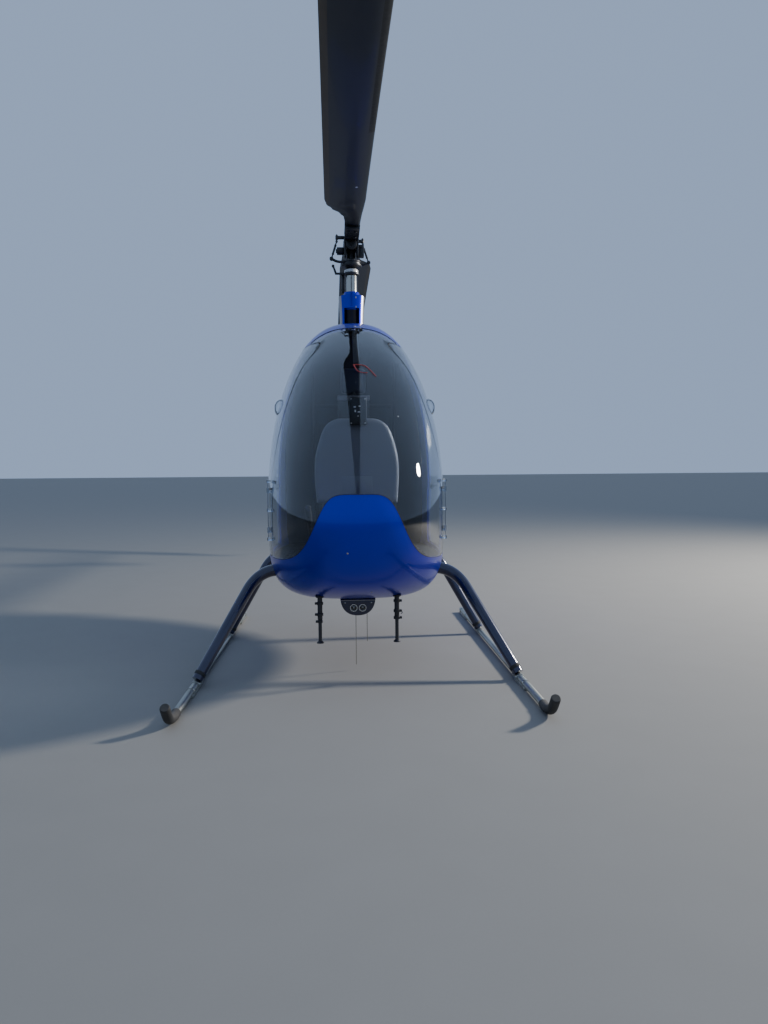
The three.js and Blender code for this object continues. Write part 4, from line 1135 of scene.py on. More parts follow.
def make_blades():
    for word, side in (("forward", -1), ("aft", 1)):
        rotor_piece(f"blade_skin_{word}", blade(side), ("Blade paint", "Erosion strip", "Blade edge"),
                    "blade_paint", f"blade_{word}", angle=50)
        bm = bmesh.new()
        for x, radius in ((-side * 6, 870), (side * 100, 3020)):
            low = BLADE_Z - droop(radius) - 12.5
            rod(bm, (x, side * radius, low), (x, side * radius, low + 4), 6, sides=16)
        rotor_piece(f"blade_mark_{word}", bm, "White mark", "blade_paint")


class HELI_OT_blades(Operator):
    """Builds both rotor blades with their edge strips and marks"""

    bl_idname = "heli.blades"
    bl_label = "Rotor blades"

    def execute(self, context):
        make_blades()
        return {"FINISHED"}


def make_head():
    bm = made(box, (-42, -60, 2262), (44, 60, 2312), 4)
    for x0, x1 in ((-42, -30.5), (30.5, 44)):
        box(bm, (x0, -60, 2199), (x1, 60, 2280), 3)
    rod(bm, (-84, 0, TEETER_Z), (-42.5, 0, TEETER_Z), 22.5, soft=3)
    rod(bm, (-90, 0, TEETER_Z), (-83, 0, TEETER_Z), 13, sides=6)
    box(bm, (44.5, -22, 2205), (76, 22, 2275), 4)
    rod(bm, (60, -22.5, 2262), (60, -30, 2262), 7, sides=6)
    for _, side in SIDES:
        rod(bm, (0, side * 55, 2264), (0, side * 72, 2264), 33, soft=8, sides=36)
        rod(bm, (0, side * 72, 2264), (0, side * 79, 2264), 12, sides=6)
    rotor_piece("hub_block", bm, "Dark steel", "black_metal", "rotor_head")

    bm = bmesh.new()
    for _, side in SIDES:
        for low, high in ((2288.5, 2302.5), (2333, 2338.5)):
            box(bm, (-40, side * 52, low), (44, side * 268, high), 2)
        box(bm, (-40, side * 58, 2300), (44, side * 77.5, 2335), 1)
        for reach in (125, 220):
            for x in (-18, 22):
                bolt(bm, (x, side * reach, 2338.4), UP, 7.5, 6)
                bolt(bm, (x, side * reach, 2288.7), -UP, 7.5, 9)
        for x in (-39, 43):
            rod(bm, (x, side * 100, 2309.5), (x, side * 260, 2309.5), 2.8, sides=10)
    rotor_piece("blade_grips", bm, "Blade paint", "black_metal")

    bm = bmesh.new()
    for tip, y in ((-83.5, -HORN_Y), (70, HORN_Y)):
        box(bm, (math.copysign(40.5, tip), y - 9, 2300), (tip, y + 9, 2318), 3)
        rod(bm, (tip, y, 2297), (tip, y, 2321), 8.5, soft=1.5)
        bolt(bm, (tip, y, 2321), UP, 4.8, 6)
    rotor_piece("pitch_horns", bm, "Dark steel", "black_metal")


class HELI_OT_head(Operator):
    """Builds the seesaw head: hub block, bearings, blade grips, bolts and pitch horns"""

    bl_idname = "heli.head"
    bl_label = "Rotor head"

    def execute(self, context):
        make_head()
        return {"FINISHED"}


def make_mast():
    bm = made(lathe, (
        (0, 1621), (33, 1621), (33, 2134), (31.5, 2139), (26, 2142), (24, 2146), (24, 2252),
        (22, 2256.5), (0, 2257)), steps=48)
    for face in bm.faces:
        face.material_index = int(face.calc_center_median().z > 2135)
    rotor_piece("mast_polished", bm, ("Bright steel", "Dark steel"), "bare_steel", "mast_tube", "main_rotor")
    rotor_piece("teeter_pin", made(rod, (-78.5, 0, TEETER_Z), (68, 0, TEETER_Z), 8),
                "Dark steel", "bare_steel", body="main_rotor")

    bm = made(lathe, (
        (24.5, 2143.5), (36, 2143.5), (38, 2147), (60, 2147), (62, 2150), (61.8, 2158), (55, 2161),
        (55, 2169), (58.5, 2172), (57.5, 2179), (52, 2180.5), (24.5, 2180.5), (24.5, 2143.5)), steps=48)
    for c, s in around(8, 0.5):
        bolt(bm, (46 * c, 46 * s, 2180), UP, 4.2, 6)
    for x, z in ((-116, 2187), (104.5, 2184)):
        y = math.copysign(HORN_Y, x)
        arm = ((math.copysign(40, x), y, 2168), (x * 0.72, y, 2172), (x, y, z))
        tube(bm, spline(arm, 6), 7.8, 16)
        rod(bm, (x, y - 9, z), (x, y + 9, z), 11.5, soft=1.5)
        bolt(bm, (x, y - 9, z), (0, -1, 0), 5, 6)
    rotor_piece("turning_plate", bm, "Dark steel", "black_metal", "swashplate", "main_rotor")

    for word, x, z, end_x in (("a", -116, 2187, -83.5), ("b", 104.5, 2184, 70)):
        y = math.copysign(HORN_Y, x)
        start, end = Vector((x, y, z)), Vector((end_x, y, 2290.5))
        along = (end - start).normalized()
        eye, half = end - along * 4, Vector((0, 5, 0))
        bm = made(rod, start + along * 12.5, end - along * 6, 4.2, sides=16)
        rod(bm, start + along * 30, end - along * 30, 6.2, sides=6)
        for near in (26, (end - start).length - 30):
            rod(bm, start + along * near, start + along * (near + 5), 7.5, sides=6)
        rod(bm, eye - half, eye + half, 7.2)
        rotor_piece(f"link_{word}", bm, "Dark steel", "black_metal", f"pitch_link_{word}", "main_rotor")

    bm = made(band, 34.2, 41, 2112, 2130, soft=2, steps=48)
    piece("white_collar", at_mast(bm), "White mark", "pale_grey", "control_plate")
    bm = made(band, 34.2, 47, 2100, 2111.5, soft=2.5, steps=48)
    rod(bm, (-50, 16, 1998.5), (-50, 16, 2103), 8.5, soft=1)
    for z in (2012, 2085):
        rod(bm, (-50, 16, z), (-50, 16, z + 8), 10.5, sides=6)
    box(bm, (-96, -6, 2104), (-40, 6, 2116), 2.5)
    box(bm, (-62, 0, 2101), (-34, 26, 2113), 2.5)
    tube(bm, ((-90, 0, 2108), (-97, 0, 2128), (-107, 0, 2156)), (6.8, 6, 5.8), 16)
    rod(bm, (-107, -6, 2154), (-107, 6, 2154), 8.5, soft=1)
    piece("fixed_plate", at_mast(bm), "Dark steel", "black_metal")


class HELI_OT_mast(Operator):
    """Builds the polished mast with its collars, the two swashplates, links and the control rod"""

    bl_idname = "heli.mast"
    bl_label = "Mast and controls"

    def execute(self, context):
        make_mast()
        return {"FINISHED"}


# Mast fairing and housing

HOUSING_RADIUS = 46.5
HOUSING_TOP = 1998


def fairing(bm):
    """The streamlined body round the mast, open at its front once it is cut."""
    sections = []
    for t in between(0, 1, 18):
        width = 72 - 4 * math.sin(math.pi * t) + 6 * t
        front, back = 62 - 4 * t, 210 - 30 * t
        sections.append([
            (width * s * (1 - 0.55 * max(c, 0)), (back if c >= 0 else front) * c, 1700 + 285 * t)
            for c, s in around(48)])
    loft(bm, sections)
    at_mast(bm)


def make_fairing():
    top, radius = HOUSING_TOP, HOUSING_RADIUS
    bm = made(lathe, (
        (34.2, 1620), (radius - 2, 1620), (radius - 2, 1893), (radius, 1896), (radius, top - 4),
        (radius - 3, top), (36, top), (34.2, top - 2), (34.2, 1620)), steps=56)
    for face in bm.faces:
        face.material_index = int(face.calc_center_median().z < 1893)
    piece("mast_sleeve", at_mast(bm), ("Cobalt paint", "Panel black"), "blue_paint", "mast_housing")
    bm = bmesh.new()
    for z in (1900, 1955):
        band(bm, radius - 1, radius + 2.2, z, z + 10, soft=0.1, steps=48)
        box(bm, (12, -56, z - 1), (28, -42, z + 11), 1.5)
    piece("sleeve_clamps", at_mast(bm), "Bright steel", "bare_steel")

    skin = solid(fairing)
    modify(skin, "SOLIDIFY", thickness=5, offset=-1)
    front, back = MAST_Y - 300, MAST_Y + 300
    bm = cut_away(
        skin, solid(slab, ((front, 2010), (back, 1930), (back, 2300), (front, 2300)), "X", -200, 200),
        solid(box, (-44, MAST_Y - 200, 1600), (44, MAST_Y, 1900)),
        solid(rod, (0, MAST_Y, 1500), (0, MAST_Y, 2100), radius + 0.8, sides=48), solid(pod))
    for face in bm.faces:
        face.material_index = int(face.calc_center_median().y > MAST_Y - 36)
    piece("fairing_skin", bm, ("Cobalt paint", "Satin alloy"), "blue_paint", "mast_fairing",
          angle=35, recalc=False)
    bm = bmesh.new()
    for _, side in SIDES:
        for z in (1800, 1860, 1920):
            screw(bm, (side * 65.5, 45, z), (side, 0.2, 0), settings().screw / MM)
        box(bm, (side * 47, -4, 1800), (side * 66, 4, 1945), 1)
    piece("fairing_fittings", at_mast(bm), "Bright steel", "bare_steel")


class HELI_OT_fairing(Operator):
    """Builds the round mast housing with its collar and the open streamlined fairing behind it"""

    bl_idname = "heli.fairing"
    bl_label = "Mast fairing"

    def execute(self, context):
        make_fairing()
        return {"FINISHED"}


# Cabin

PADS_CAP = 11
PAD_VOXEL = 5.5
PAD_PRESSURE = 4.0
GROOVE = {"half": 14, "depth": 6, "above": 30}

# Seats. Columns: name, pan front, pan rear, pan foot, back foot, back top, half width, rake
SEATS = (
    ("pilot", 588, 838, 646, 702, 1118, 178, 40),
    ("passenger", 948, 1198, 666, 722, 1200, 158, 36),
)


def swell(obj, cap):
    """Lets a pad fill out under pressure from inside, no point further than the cap."""
    start = [vert.co.copy() for vert in obj.data.vertices]
    cloth = obj.modifiers.new("Cloth", "CLOTH")
    cloth.settings.use_pressure = True
    cloth.settings.uniform_pressure_force = PAD_PRESSURE
    cloth.settings.effector_weights.gravity = 0
    cloth.point_cache.frame_start = 1
    cloth.point_cache.frame_end = 20
    for step in range(1, 21):
        bpy.context.scene.frame_set(step)
    swollen = obj.evaluated_get(bpy.context.evaluated_depsgraph_get()).to_mesh()
    for vert, old, new in zip(obj.data.vertices, start, swollen.vertices):
        shift = new.co - old
        vert.co = old + shift * min(1, cap / max(shift.length, 1e-9))
    obj.modifiers.remove(cloth)
    bpy.context.scene.frame_set(1)


def pad(name, low, high, soft, replaces=(), turn=None, cap=PADS_CAP, grooves=()):
    """A sewn pad: an even mesh that is swollen, pressed in along its grooves and smoothed."""
    low, high = ((x * MM, NOSE_Y + y * MM, z * MM) for x, y, z in (low, high))
    obj = solid(box, low, high, soft * MM, turn, 3 if soft < 20 else 5)
    modify(obj, "REMESH", mode="VOXEL", voxel_size=PAD_VOXEL * MM)
    swell(obj, cap * MM)
    for vert in obj.data.vertices:
        for x in grooves:
            near = abs(vert.co.x / MM - x) / GROOVE["half"]
            if near < 1 and vert.co.z > low[2] + GROOVE["above"] * MM:
                vert.co.z -= GROOVE["depth"] * MM * (1 - near) ** 2
    bm = into_bmesh(obj)
    for _ in range(2):
        bmesh.ops.smooth_vert(
            bm, verts=bm.verts, factor=0.5, use_axis_x=True, use_axis_y=True, use_axis_z=True)
    cushion = piece(name, bm, "Cushion cloth", "cushion", replaces, angle=80, place=Matrix())
    fine = cushion.modifiers.new("Subdivision", "SUBSURF")
    fine.levels = fine.render_levels = 1


def ribbon(bm, path, width, thickness):
    """A flat strap along a path, lying across X."""
    path = [Vector(p) for p in path]
    sections = []
    for i, point in enumerate(path):
        ahead = (path[min(i + 1, len(path) - 1)] - path[max(i - 1, 0)]).normalized()
        across = Vector((1, 0, 0))
        across = (across - ahead * across.dot(ahead)).normalized()
        side, out = across * width / 2, ahead.cross(across) * thickness / 2
        sections.append([point - side - out, point + side - out, point + side + out, point - side + out])
    loft(bm, sections)


def make_seats():
    for name, y0, y1, pan_z, back_z, top, half, rake in SEATS:
        slope = rake / (top - back_z)
        turn = Matrix.Rotation(-math.atan(slope), 3, "X").to_quaternion()
        pad(f"{name}_pan_pad", (-half, y0, pan_z), (half, y1, pan_z + 40), 16, f"{name}_seat",
            grooves=(-half * 0.42, half * 0.42))
        pad(f"{name}_back_pad", (-half, y1 + 18, back_z + 4), (half, y1 + 58, top - 12), 16, turn=turn)

        wide = half + 5
        edge = [(-half + 30, top - 12), (-wide, top - 50), (-wide, back_z - 45)]
        bm = made(slab, edge + mirrored(edge), "Y", 0, 6, 2)
        for vert in bm.verts:
            vert.co.y += y1 + 69 + (vert.co.z - back_z) * slope - rake / 2
        box(bm, (-half - 6, y0 - 4, pan_z - 24), (half + 6, y1 + 50, pan_z - 9), 6)
        for _, side in SIDES:
            low, high = (side * wide, y0 + 20, pan_z - 20), (side * (wide + 6), y1 + 52, pan_z + 22)
            box(bm, low, high, 2.5)
        piece(f"{name}_seat_shell", bm, "Panel black", "cushion")
        bm = bmesh.new()
        near, far = y0 + 55, y1 + 15
        for x in (-115, 115):
            for y in (near, far):
                rod(bm, (x, y, FLOOR_Z + 0.5), (x, y, pan_z - 20), 10, soft=1)
                rod(bm, (x, y, FLOOR_Z + 0.5), (x, y, FLOOR_Z + 5), 20, sides=20)
            rod(bm, (x, near, FLOOR_Z + 30), (x, far, FLOOR_Z + 30), 8)
        piece(f"{name}_seat_frame", bm, "Dark steel", "cushion")

        bm = bmesh.new()
        for _, side in SIDES:
            path = []
            for t in between(0, 1, 14):
                z = top + 4 - (top - pan_z - 75) * t
                path.append((side * (75 + 55 * t * t), y1 + 4 + (z - back_z) * slope - rake / 2, z))
            path += [(side * 110, y1 - 30, pan_z + 66), (side * 50, y1 - 90, pan_z + 60),
                     (side * 12, y1 - 100, pan_z + 60)]
            ribbon(bm, path, 45, 1.8)
        piece(f"{name}_belts", bm, "Belt webbing", "cushion", angle=60)
        bm = made(box, (-28, y1 - 125, pan_z + 58), (28, y1 - 75, pan_z + 70), 3)
        rod(bm, (0, y1 - 100, pan_z + 70), (0, y1 - 100, pan_z + 74), 14, soft=1)
        piece(f"{name}_buckle", bm, "Bright steel", "cushion")

    pad("headrest_pad", (-67, 1192, 1368), (67, 1238, 1508), 20, "headrest", cap=6)
    y, wall_y = 1202.5, 1299.7
    piece("headrest_bar", made(box, (-90, y - 12.5, 1332), (90, y + 12.5, 1360), 3), "Pod grey", "cushion")
    bm = made(rod, (0, y + 6, 1355), (0, y + 6, 1395), 11)
    rod(bm, (0, y + 10, 1346), (0, wall_y, 1346), 11)
    rod(bm, (0, wall_y - 6.7, 1346), (0, wall_y, 1346), 24)
    box(bm, (-86, y + 4, 1222), (86, y + 12, 1334), 4)
    piece("headrest_stay", bm, "Panel black", "cushion")


class HELI_OT_seats(Operator):
    """Sews the two seats and the headrest, with their shells, frames and belts"""

    bl_idname = "heli.seats"
    bl_label = "Seats and belts"

    def execute(self, context):
        make_seats()
        return {"FINISHED"}


# Gauges on the pilot's side. Columns: X, height, radius
GAUGES = ((-105, 1075, 40), (0, 1095, 40), (105, 1075, 40),
          (-115, 972, 30), (-38, 985, 30), (38, 985, 30), (115, 972, 30))
# Lit signs on the display, in white paint that stands in for their glow, as they give no light. Columns: X,
# height, width, tallness
PAINTED_GLOW_SIGNS = ((-8, 1226, 10, 6), (13, 1229, 8, 5), (-6, 1208, 6, 10), (10, 1204, 11, 5), (6, 1186, 5, 4))


def make_instruments():
    front, rear = 400, 495
    flank = [(182, 800), *bend((182, 800), (196, 930), (196, 1000), (168, 1080), steps=12),
             *bend((168, 1080), (150, 1150), (120, 1176), (70, 1180), steps=12)]
    bm = made(slab, flank + mirrored(flank), "Y", front, rear)

    def end_face(pick):
        return pick((f for f in bm.faces if len(f.verts) > 10), key=lambda f: f.calc_center_median().y)

    round_off(bm, end_face(min).edges, 24, 5)
    round_off(bm, end_face(max).edges, 6, 2)
    bmesh.ops.inset_region(bm, faces=[end_face(max)], thickness=10, depth=-6)
    piece("instrument_shell", bm, "Pod grey", "pale_grey", "instrument_pod", angle=40)
    bm = bmesh.new()
    foot = FLOOR_Z + 0.4
    box(bm, (-62, front + 10, foot), (62, rear - 10, 815), 8)
    box(bm, (-75, front + 2, foot), (75, rear - 2, FLOOR_Z + 7), 2)
    for x in (-67, 67):
        for y in (front + 20, rear - 20):
            bolt(bm, (x, y, FLOOR_Z + 7), UP, 4)
    box(bm, (-68, front - 1.5, 842), (68, front + 6, 918), 1.5)
    piece("instrument_pedestal", bm, "Pod grey", "pale_grey")

    face, glass, bezels, marks = (bmesh.new() for _ in range(4))
    box(face, (-150, rear - 5.5, 925), (150, rear - 3, 1145), 12)
    for x, z, radius in GAUGES:
        band(bezels, radius - 4, radius + 2, 0, 6, (x, rear - 3, z), (0, 1, 0), soft=2)
        rod(glass, (x, rear - 3, z), (x, rear - 1, z), radius - 4, sides=32)
        for c, s in around(4, 0.5):
            reach = radius + 7
            screw(bezels, (x + reach * c, rear - 3, z + reach * s), (0, 1, 0), 2.2)
        needle = math.radians(215 + 0.4 * x + 0.04 * z)
        strokes = [(c, s, radius - 11.5, radius - 7, 0.6) for c, s in around(12)]
        strokes.append((math.cos(needle), math.sin(needle), 0, radius - 13, 0.9))
        for c, s, inner, outer, thick in strokes:
            y = rear - thick
            rod(marks, (x + inner * c, y, z + inner * s), (x + outer * c, y, z + outer * s), thick, sides=6)
    for x in between(-110, 110, 5):
        rod(bezels, (x, rear - 6, 915), (x, rear + 1, 915), 5, sides=6)
        rod(bezels, (x, rear, 915), (x, rear + 12, 922), 2.2, sides=10)
    piece("instrument_face", face, "Panel black", "pale_grey")
    piece("gauge_bezels", bezels, "Dark steel", "pale_grey")
    piece("gauge_glasses", glass, "Screen glass", "pale_grey")
    piece("gauge_marks", marks, "White mark", "pale_grey")

    fore = front - 40
    bm = made(box, (-32, fore, 1146), (45, front - 0.3, 1270), 6, segments=3)
    piece("display_case", bm, "Panel black", "black_plastic", "instrument_display")
    piece("display_screen", made(box, (-24, front - 0.6, 1166), (37, front + 0.6, 1262), 0.5),
          "Screen glass", "black_plastic")
    bm = bmesh.new()
    # White paint stands in for the glow of the lit signs, which give no light; the screws are real
    for x, z, wide, tall in PAINTED_GLOW_SIGNS:
        low, high = (x - wide / 2, fore - 0.8, z - tall / 2), (x + wide / 2, fore + 1, z + tall / 2)
        box(bm, low, high, 0.4)
    for x in (-24, 37):
        for z in (1155, 1261):
            screw(bm, (x, fore + 0.2, z), (0, -1, 0), 2.5)
    piece("display_glow_marks_and_screws", bm, "White mark", "black_plastic")


class HELI_OT_instruments(Operator):
    """Builds the instrument pod with its gauges, pedestal and display"""

    bl_idname = "heli.instruments"
    bl_label = "Instruments"

    def execute(self, context):
        make_instruments()
        return {"FINISHED"}


def make_controls():
    floor = FLOOR_Z + 0.5
    bm = bmesh.new()
    stick = ((0, 548, FLOOR_Z + 6), (0, 555, 700), (0, 530, 860), (0, 532, 900))
    tube(bm, spline(stick, 8), 11, 20)
    lathe(bm, ((0, 0), (28, 0), (27, 6), (20, 20), (13.5, 40), (0, 40)), (0, 548, floor))
    piece("cyclic_tube", bm, "Dark steel", "black_plastic", "cyclic_stick")
    bm = bmesh.new()
    heights = (868, 876, 892, 912, 934, 956, 972, 982, 986)
    radii = (12, 15.5, 16.5, 15, 16.2, 15.5, 17, 15.5, 10)
    tube(bm, [(0, 530 + (z - 868) * 0.05, z) for z in heights], radii, 24)
    rod(bm, (0, 521, 972), (0, 512, 974), 4.5, sides=16)
    rod(bm, (0, 536, 984), (0, 536, 990), 5.5, sides=16)
    piece("cyclic_grip", bm, "Seal rubber", "black_plastic")
    bm = bmesh.new()
    start, end = Vector((-235, 900, 590)), Vector((-235, 640, 760))
    rod(bm, start, end, 10)
    box(bm, (-250, 870, floor), (-220, 920, 560), 3)
    for x in (-250.5, -224.5):
        box(bm, (x, 880, 555), (x + 5, 915, 612), 1.5)
    rod(bm, (-251.5, 900, 592), (-218.5, 900, 592), 6)
    piece("collective_tube", bm, "Dark steel", "black_plastic", "collective_lever")
    bm = bmesh.new()
    along = (end - start).normalized()
    tube(bm, [start + along * (192 + 140 * t) for t in (0, 0.05, 0.3, 0.55, 0.8, 0.95, 1)],
         (11.5, 16.5, 15.5, 16.8, 15.5, 16.5, 11.5), 24)
    piece("collective_grip", bm, "Seal rubber", "black_plastic")

    bm, treads = bmesh.new(), bmesh.new()
    rod(bm, (-150, 262, 560), (150, 262, 560), 9, soft=1)
    box(bm, (-20, 245, floor), (20, 280, 566), 3)
    for _, side in SIDES:
        x = side * 120
        rod(bm, (x, 262, 558), (x, 246, 630), 7)
        box(bm, (x - 35, 238, 592), (x + 35, 245, 689), 2.5)
        for z in between(601, 679, 6):
            box(treads, (x - 30, 236.5, z), (x + 30, 238.5, z + 6), 0.6)
    piece("pedal_bar", bm, "Bright steel", "bare_steel", "pedals")
    piece("pedal_treads", treads, "Seal rubber", "bare_steel")

    bm, treads = bmesh.new(), bmesh.new()
    wall_y = 1300
    for _, side in SIDES:
        tube(bm, [(side * 230, wall_y - 4, z) for z in (560, 900, 1300, 1550)], 9, 12)
        for z in (750, 1120):
            x = side * 120
            box(bm, (x - 80, wall_y - 4, z - 90), (x + 80, wall_y - 0.5, z + 90), 3)
        for near in between(520, 1200, 8):
            x = side * 275
            box(treads, (x - 70, near, floor), (x + 70, near + 12, floor + 2.5), 1)
    for z in (600, 950, 1300):
        box(bm, (-220, wall_y - 6, z), (220, wall_y - 0.5, z + 20), 2)
    piece("bulkhead_lining", bm, "Floor lining", "black_plastic")
    piece("floor_treads", treads, "Seal rubber", "black_plastic")


class HELI_OT_controls(Operator):
    """Builds the cyclic stick, collective lever, pedals and the lining of the cabin"""

    bl_idname = "heli.controls"
    bl_label = "Controls and lining"

    def execute(self, context):
        make_controls()
        return {"FINISHED"}


# Landing gear and belly

SKID = {"radius": 15, "z": 21.3, "front": -170, "rear": 1960}
SHOES = ((140, 360), (1700, 1940))
LEG = {"radius": 29, "foot_radius": 23, "z": 478, "foot_z": 32}
LEG_BOW = ((365, 478), (465, 478), (515, 392))
# Cross tubes. Columns: name, station at the hull, station at the skids
LEG_TUBES = (("front", 600, 300), ("rear", 1370, 1290))
POST = {"x": 173, "y": 370}
POST_CLAMPS = {"port": (359, 313, 282), "starboard": (352, 302, 270)}
LAMPS = (("port", 21), ("starboard", -20))
LAMP_Z = 312
# Whips. Columns: name, X, foot, top
WHIPS = (("long", -9, 26, 273.5), ("short", 44, 137, 283))
AFT = Vector((0, 1, 0))


def leg_path(root, foot):
    """Centre line of a cross tube from skid to skid and its radius at each point."""
    hull_z, bow = LEG["z"], LEG_BOW[0][0]
    end = (SKID_X - 2.5, LEG["foot_z"] + 4)
    half = [(0, hull_z), (180, hull_z), LEG_BOW[0], *bend(*LEG_BOW, steps=14)]
    half += bend(LEG_BOW[2], end, steps=8)
    half = [(x, root + (foot - root) * (hull_z - z) / (hull_z - LEG["foot_z"]), z) for x, z in half]
    path = mirrored(half[1:]) + half
    thin = (LEG["foot_radius"] - LEG["radius"]) / (SKID_X - bow)
    return path, [LEG["radius"] + thin * max(abs(p[0]) - bow, 0) for p in path]


def make_gear():
    radius, skid_z, front = SKID["radius"], SKID["z"], SKID["front"]
    for name, root, foot in LEG_TUBES:
        path, radii = leg_path(root, foot)
        saddles = [solid(rod, (side * SKID_X, foot - 200, skid_z), (side * SKID_X, foot + 200, skid_z),
                         radius + 0.4, sides=32) for _, side in SIDES]
        bm = cut_away(solid(tube, path, radii, 36), *saddles)
        piece(f"{name}_leg_skin", bm, "Leg paint", "navy_paint", f"{name}_leg_tube", angle=45, recalc=False)

        rings, cuffs = bmesh.new(), bmesh.new()
        for _, side in SIDES:
            low, high = (Vector(p) for p in (path[-2:][::-1] if side > 0 else path[:2]))
            start, up = low, (high - low).normalized()
            width = radii[-1] + 1.8
            rod(rings, start + up * 20, start + up * 36, width, width + 0.4, sides=36, soft=1)
            for shift in (-34, 34):
                band(cuffs, 15.5, 18.7, -7, 7, (side * SKID_X, foot + shift, skid_z), AFT, 0.5, 32)
                bolt(cuffs, (side * (SKID_X - 18.5), foot + shift, skid_z + 4), (-side, 0, 0), 4.2, 6)
        piece(f"{name}_leg_rings", rings, "Seal rubber", "black_rubber")
        piece(f"{name}_leg_clamps", cuffs, "Skid tube", "bare_steel")

    for word, side in SIDES:
        x = side * SKID_X
        bm, straps = bmesh.new(), bmesh.new()
        marks = (front, front + 2, 1000, SKID["rear"] - 2, SKID["rear"])
        tube(bm, [(x, y, skid_z) for y in marks], (radius - 1, radius, radius, radius, radius - 2), 36)
        for first, last in SHOES:
            box(bm, (x - 17, first, 0), (x + 17, last, 14.5), 2)
            for y in (first + 30, last - 30):
                for edge in (x - 15.5, x + 15.5):
                    box(bm, (edge - 2.2, y - 8, 10), (edge + 2.2, y + 8, 26), 1)
                band(straps, 15.3, 17.2, -6, 6, (x, y, skid_z), AFT, 0.1, 28)
        piece(f"skid_tube_{word}", bm, "Skid tube", "bare_steel", f"skid_{word}")
        piece(f"shoe_straps_{word}", straps, "Bright steel", "bare_steel")
        route = spline(((x, front + 60, skid_z), (x, front, skid_z), (x, front - 70, skid_z + 20),
                        (x, front - 125, skid_z + 78)), 8)
        cap = solid(tube, route, [18.2] + [19] * (len(route) - 2) + [16.5], 36)
        socket = solid(rod, (x, front - 0.3, skid_z), (x, front + 100, skid_z), radius + 0.3, sides=36)
        piece(f"toe_{word}", cut_away(cap, socket), "Toe rubber", "black_rubber", f"toe_cap_{word}",
              recalc=False, bevel=1.2)


class HELI_OT_gear(Operator):
    """Builds the bowed leg tubes, skids, shoes, clamps and rubber toe caps"""

    bl_idname = "heli.gear"
    bl_label = "Landing gear"

    def execute(self, context):
        make_gear()
        return {"FINISHED"}


def lamp_fairing(bm, front):
    """The blunt fairing under the nose that carries the two lamps."""
    half = [(-82, 350), *bend((-82, 350), (-76, 296), (-44, 274), (0, 274), steps=12)]
    slab(bm, half + mirrored(half[:-1]), "Y", front, front + 150)
    fore = min(bm.faces, key=lambda f: f.calc_center_median().y)
    round_off(bm, fore.edges, 6, 3)


def make_belly():
    front = 470
    sockets = [solid(rod, (x, front - 50, LAMP_Z), (x, front + 20.5, LAMP_Z), 18.3, sides=40)
               for _, x in LAMPS]
    bm = cut_away(solid(lamp_fairing, front), solid(pod), *sockets)
    piece("lamp_fairing", bm, "Leg paint", "navy_paint", "lamp_pod", recalc=False, bevel=1)
    bm = made(tube, [(x, front - 0.5, 347.5) for x in between(-78, 78, 20)], 2.2, 8)
    for x in (-60, 62):
        screw(bm, (x, front - 0.2, 335), -AFT, 3.5)
    piece("lamp_strip", bm, "Bright steel", "navy_paint")
    bowl = [(0.5 + 13.2 * t, -20 + 18 * t * t) for t in between(0, 1, 8)]
    # Parts of a lamp. Columns: name, finish, distance behind the fairing's face, profile
    lamp_parts = (
        ("lens", "Lamp glass", -2.5, ((0, 0), (14.2, 0), (14.2, 2), (10, 3.5), (0, 4.2))),
        ("lamp_ring", "Reflector", -5, (
            (14, -24), (17.9, -24), (17.9, 1), (17.2, 2.2), (15, 2.2), (14, 0), (14, -24))),
        ("reflector", "Dark steel", -4, ((0, -20.5), *bowl, (13.9, -2), (13.9, -21.5), (0, -21.5))),
    )
    for word, x in LAMPS:
        for name, finish, depth, profile in lamp_parts:
            bm = made(lathe, profile, (x, front + depth, LAMP_Z), -AFT)
            piece(f"{name}_{word}", bm, finish, "lamp_lens", f"lamp_{word}" if name == "lens" else ())
        piece(f"bulb_{word}", made(ball, (x, front + 9.5, LAMP_Z), 4.2), "White mark", "lamp_lens")

    y = 545
    for name, x, foot, top in WHIPS:
        bm = made(tube, [(x, y, z) for z in (foot, foot + 3, 170, top)], (1.2, 1.9, 1.8, 2), 12)
        lathe(bm, ((0, 0), (7.5, 0), (7.5, 3), (4.5, 5), (4.2, 14), (0, 15)), (x, y, top + 5.5), -UP, 24)
        piece(f"{name}_whip_wire", bm, "Bright steel", "bare_steel", f"{name}_whip")

    for word, side in SIDES:
        x, y = side * POST["x"], POST["y"]
        top = pod_z(x, y, False) + 4
        bm = made(tube, [(x, y, z) for z in (278, 280, 330, top)], (9.5, 11, 11, 11), 28)
        tube(bm, [(x, y, z) for z in (178, 240, 280)], 8, 24)
        lathe(bm, ((0, 0), (16, 0), (16, 3), (13.5, 6), (9, 10), (0, 10)), (x, y, 172))
        lathe(bm, ((10.5, 0), (20, 0), (21, 2), (18, 8), (11.2, 11), (10.5, 0)), (x, y, top - 1), -UP)
        piece(f"post_{word}", bm, "Dark steel", "black_plastic", f"belly_post_{word}")
        bm = bmesh.new()
        for z in POST_CLAMPS[word]:
            thick = 11 if z > 280 else 8
            band(bm, thick, thick + 4, z - 6, z + 6, (x, y, 0), soft=1, steps=28)
            near, far = x + side * (thick - 1), x + side * (thick + 12)
            box(bm, (near, y - 7, z - 5), (far, y + 7, z + 5), 1.5)
        if side > 0:
            hook = ((14, 313), (22, 311), (24, 303), (18, 299))
            tube(bm, spline([(x + out, y, z) for out, z in hook], 6), 2, 10)
        piece(f"post_clamps_{word}", bm, "Panel black", "black_plastic")


class HELI_OT_belly(Operator):
    """Builds the lamp fairing with its two lamps, the whips and the ground-handling posts"""

    bl_idname = "heli.belly"
    bl_label = "Lamps, whips and posts"

    def execute(self, context):
        make_belly()
        return {"FINISHED"}


# Tail and power plant

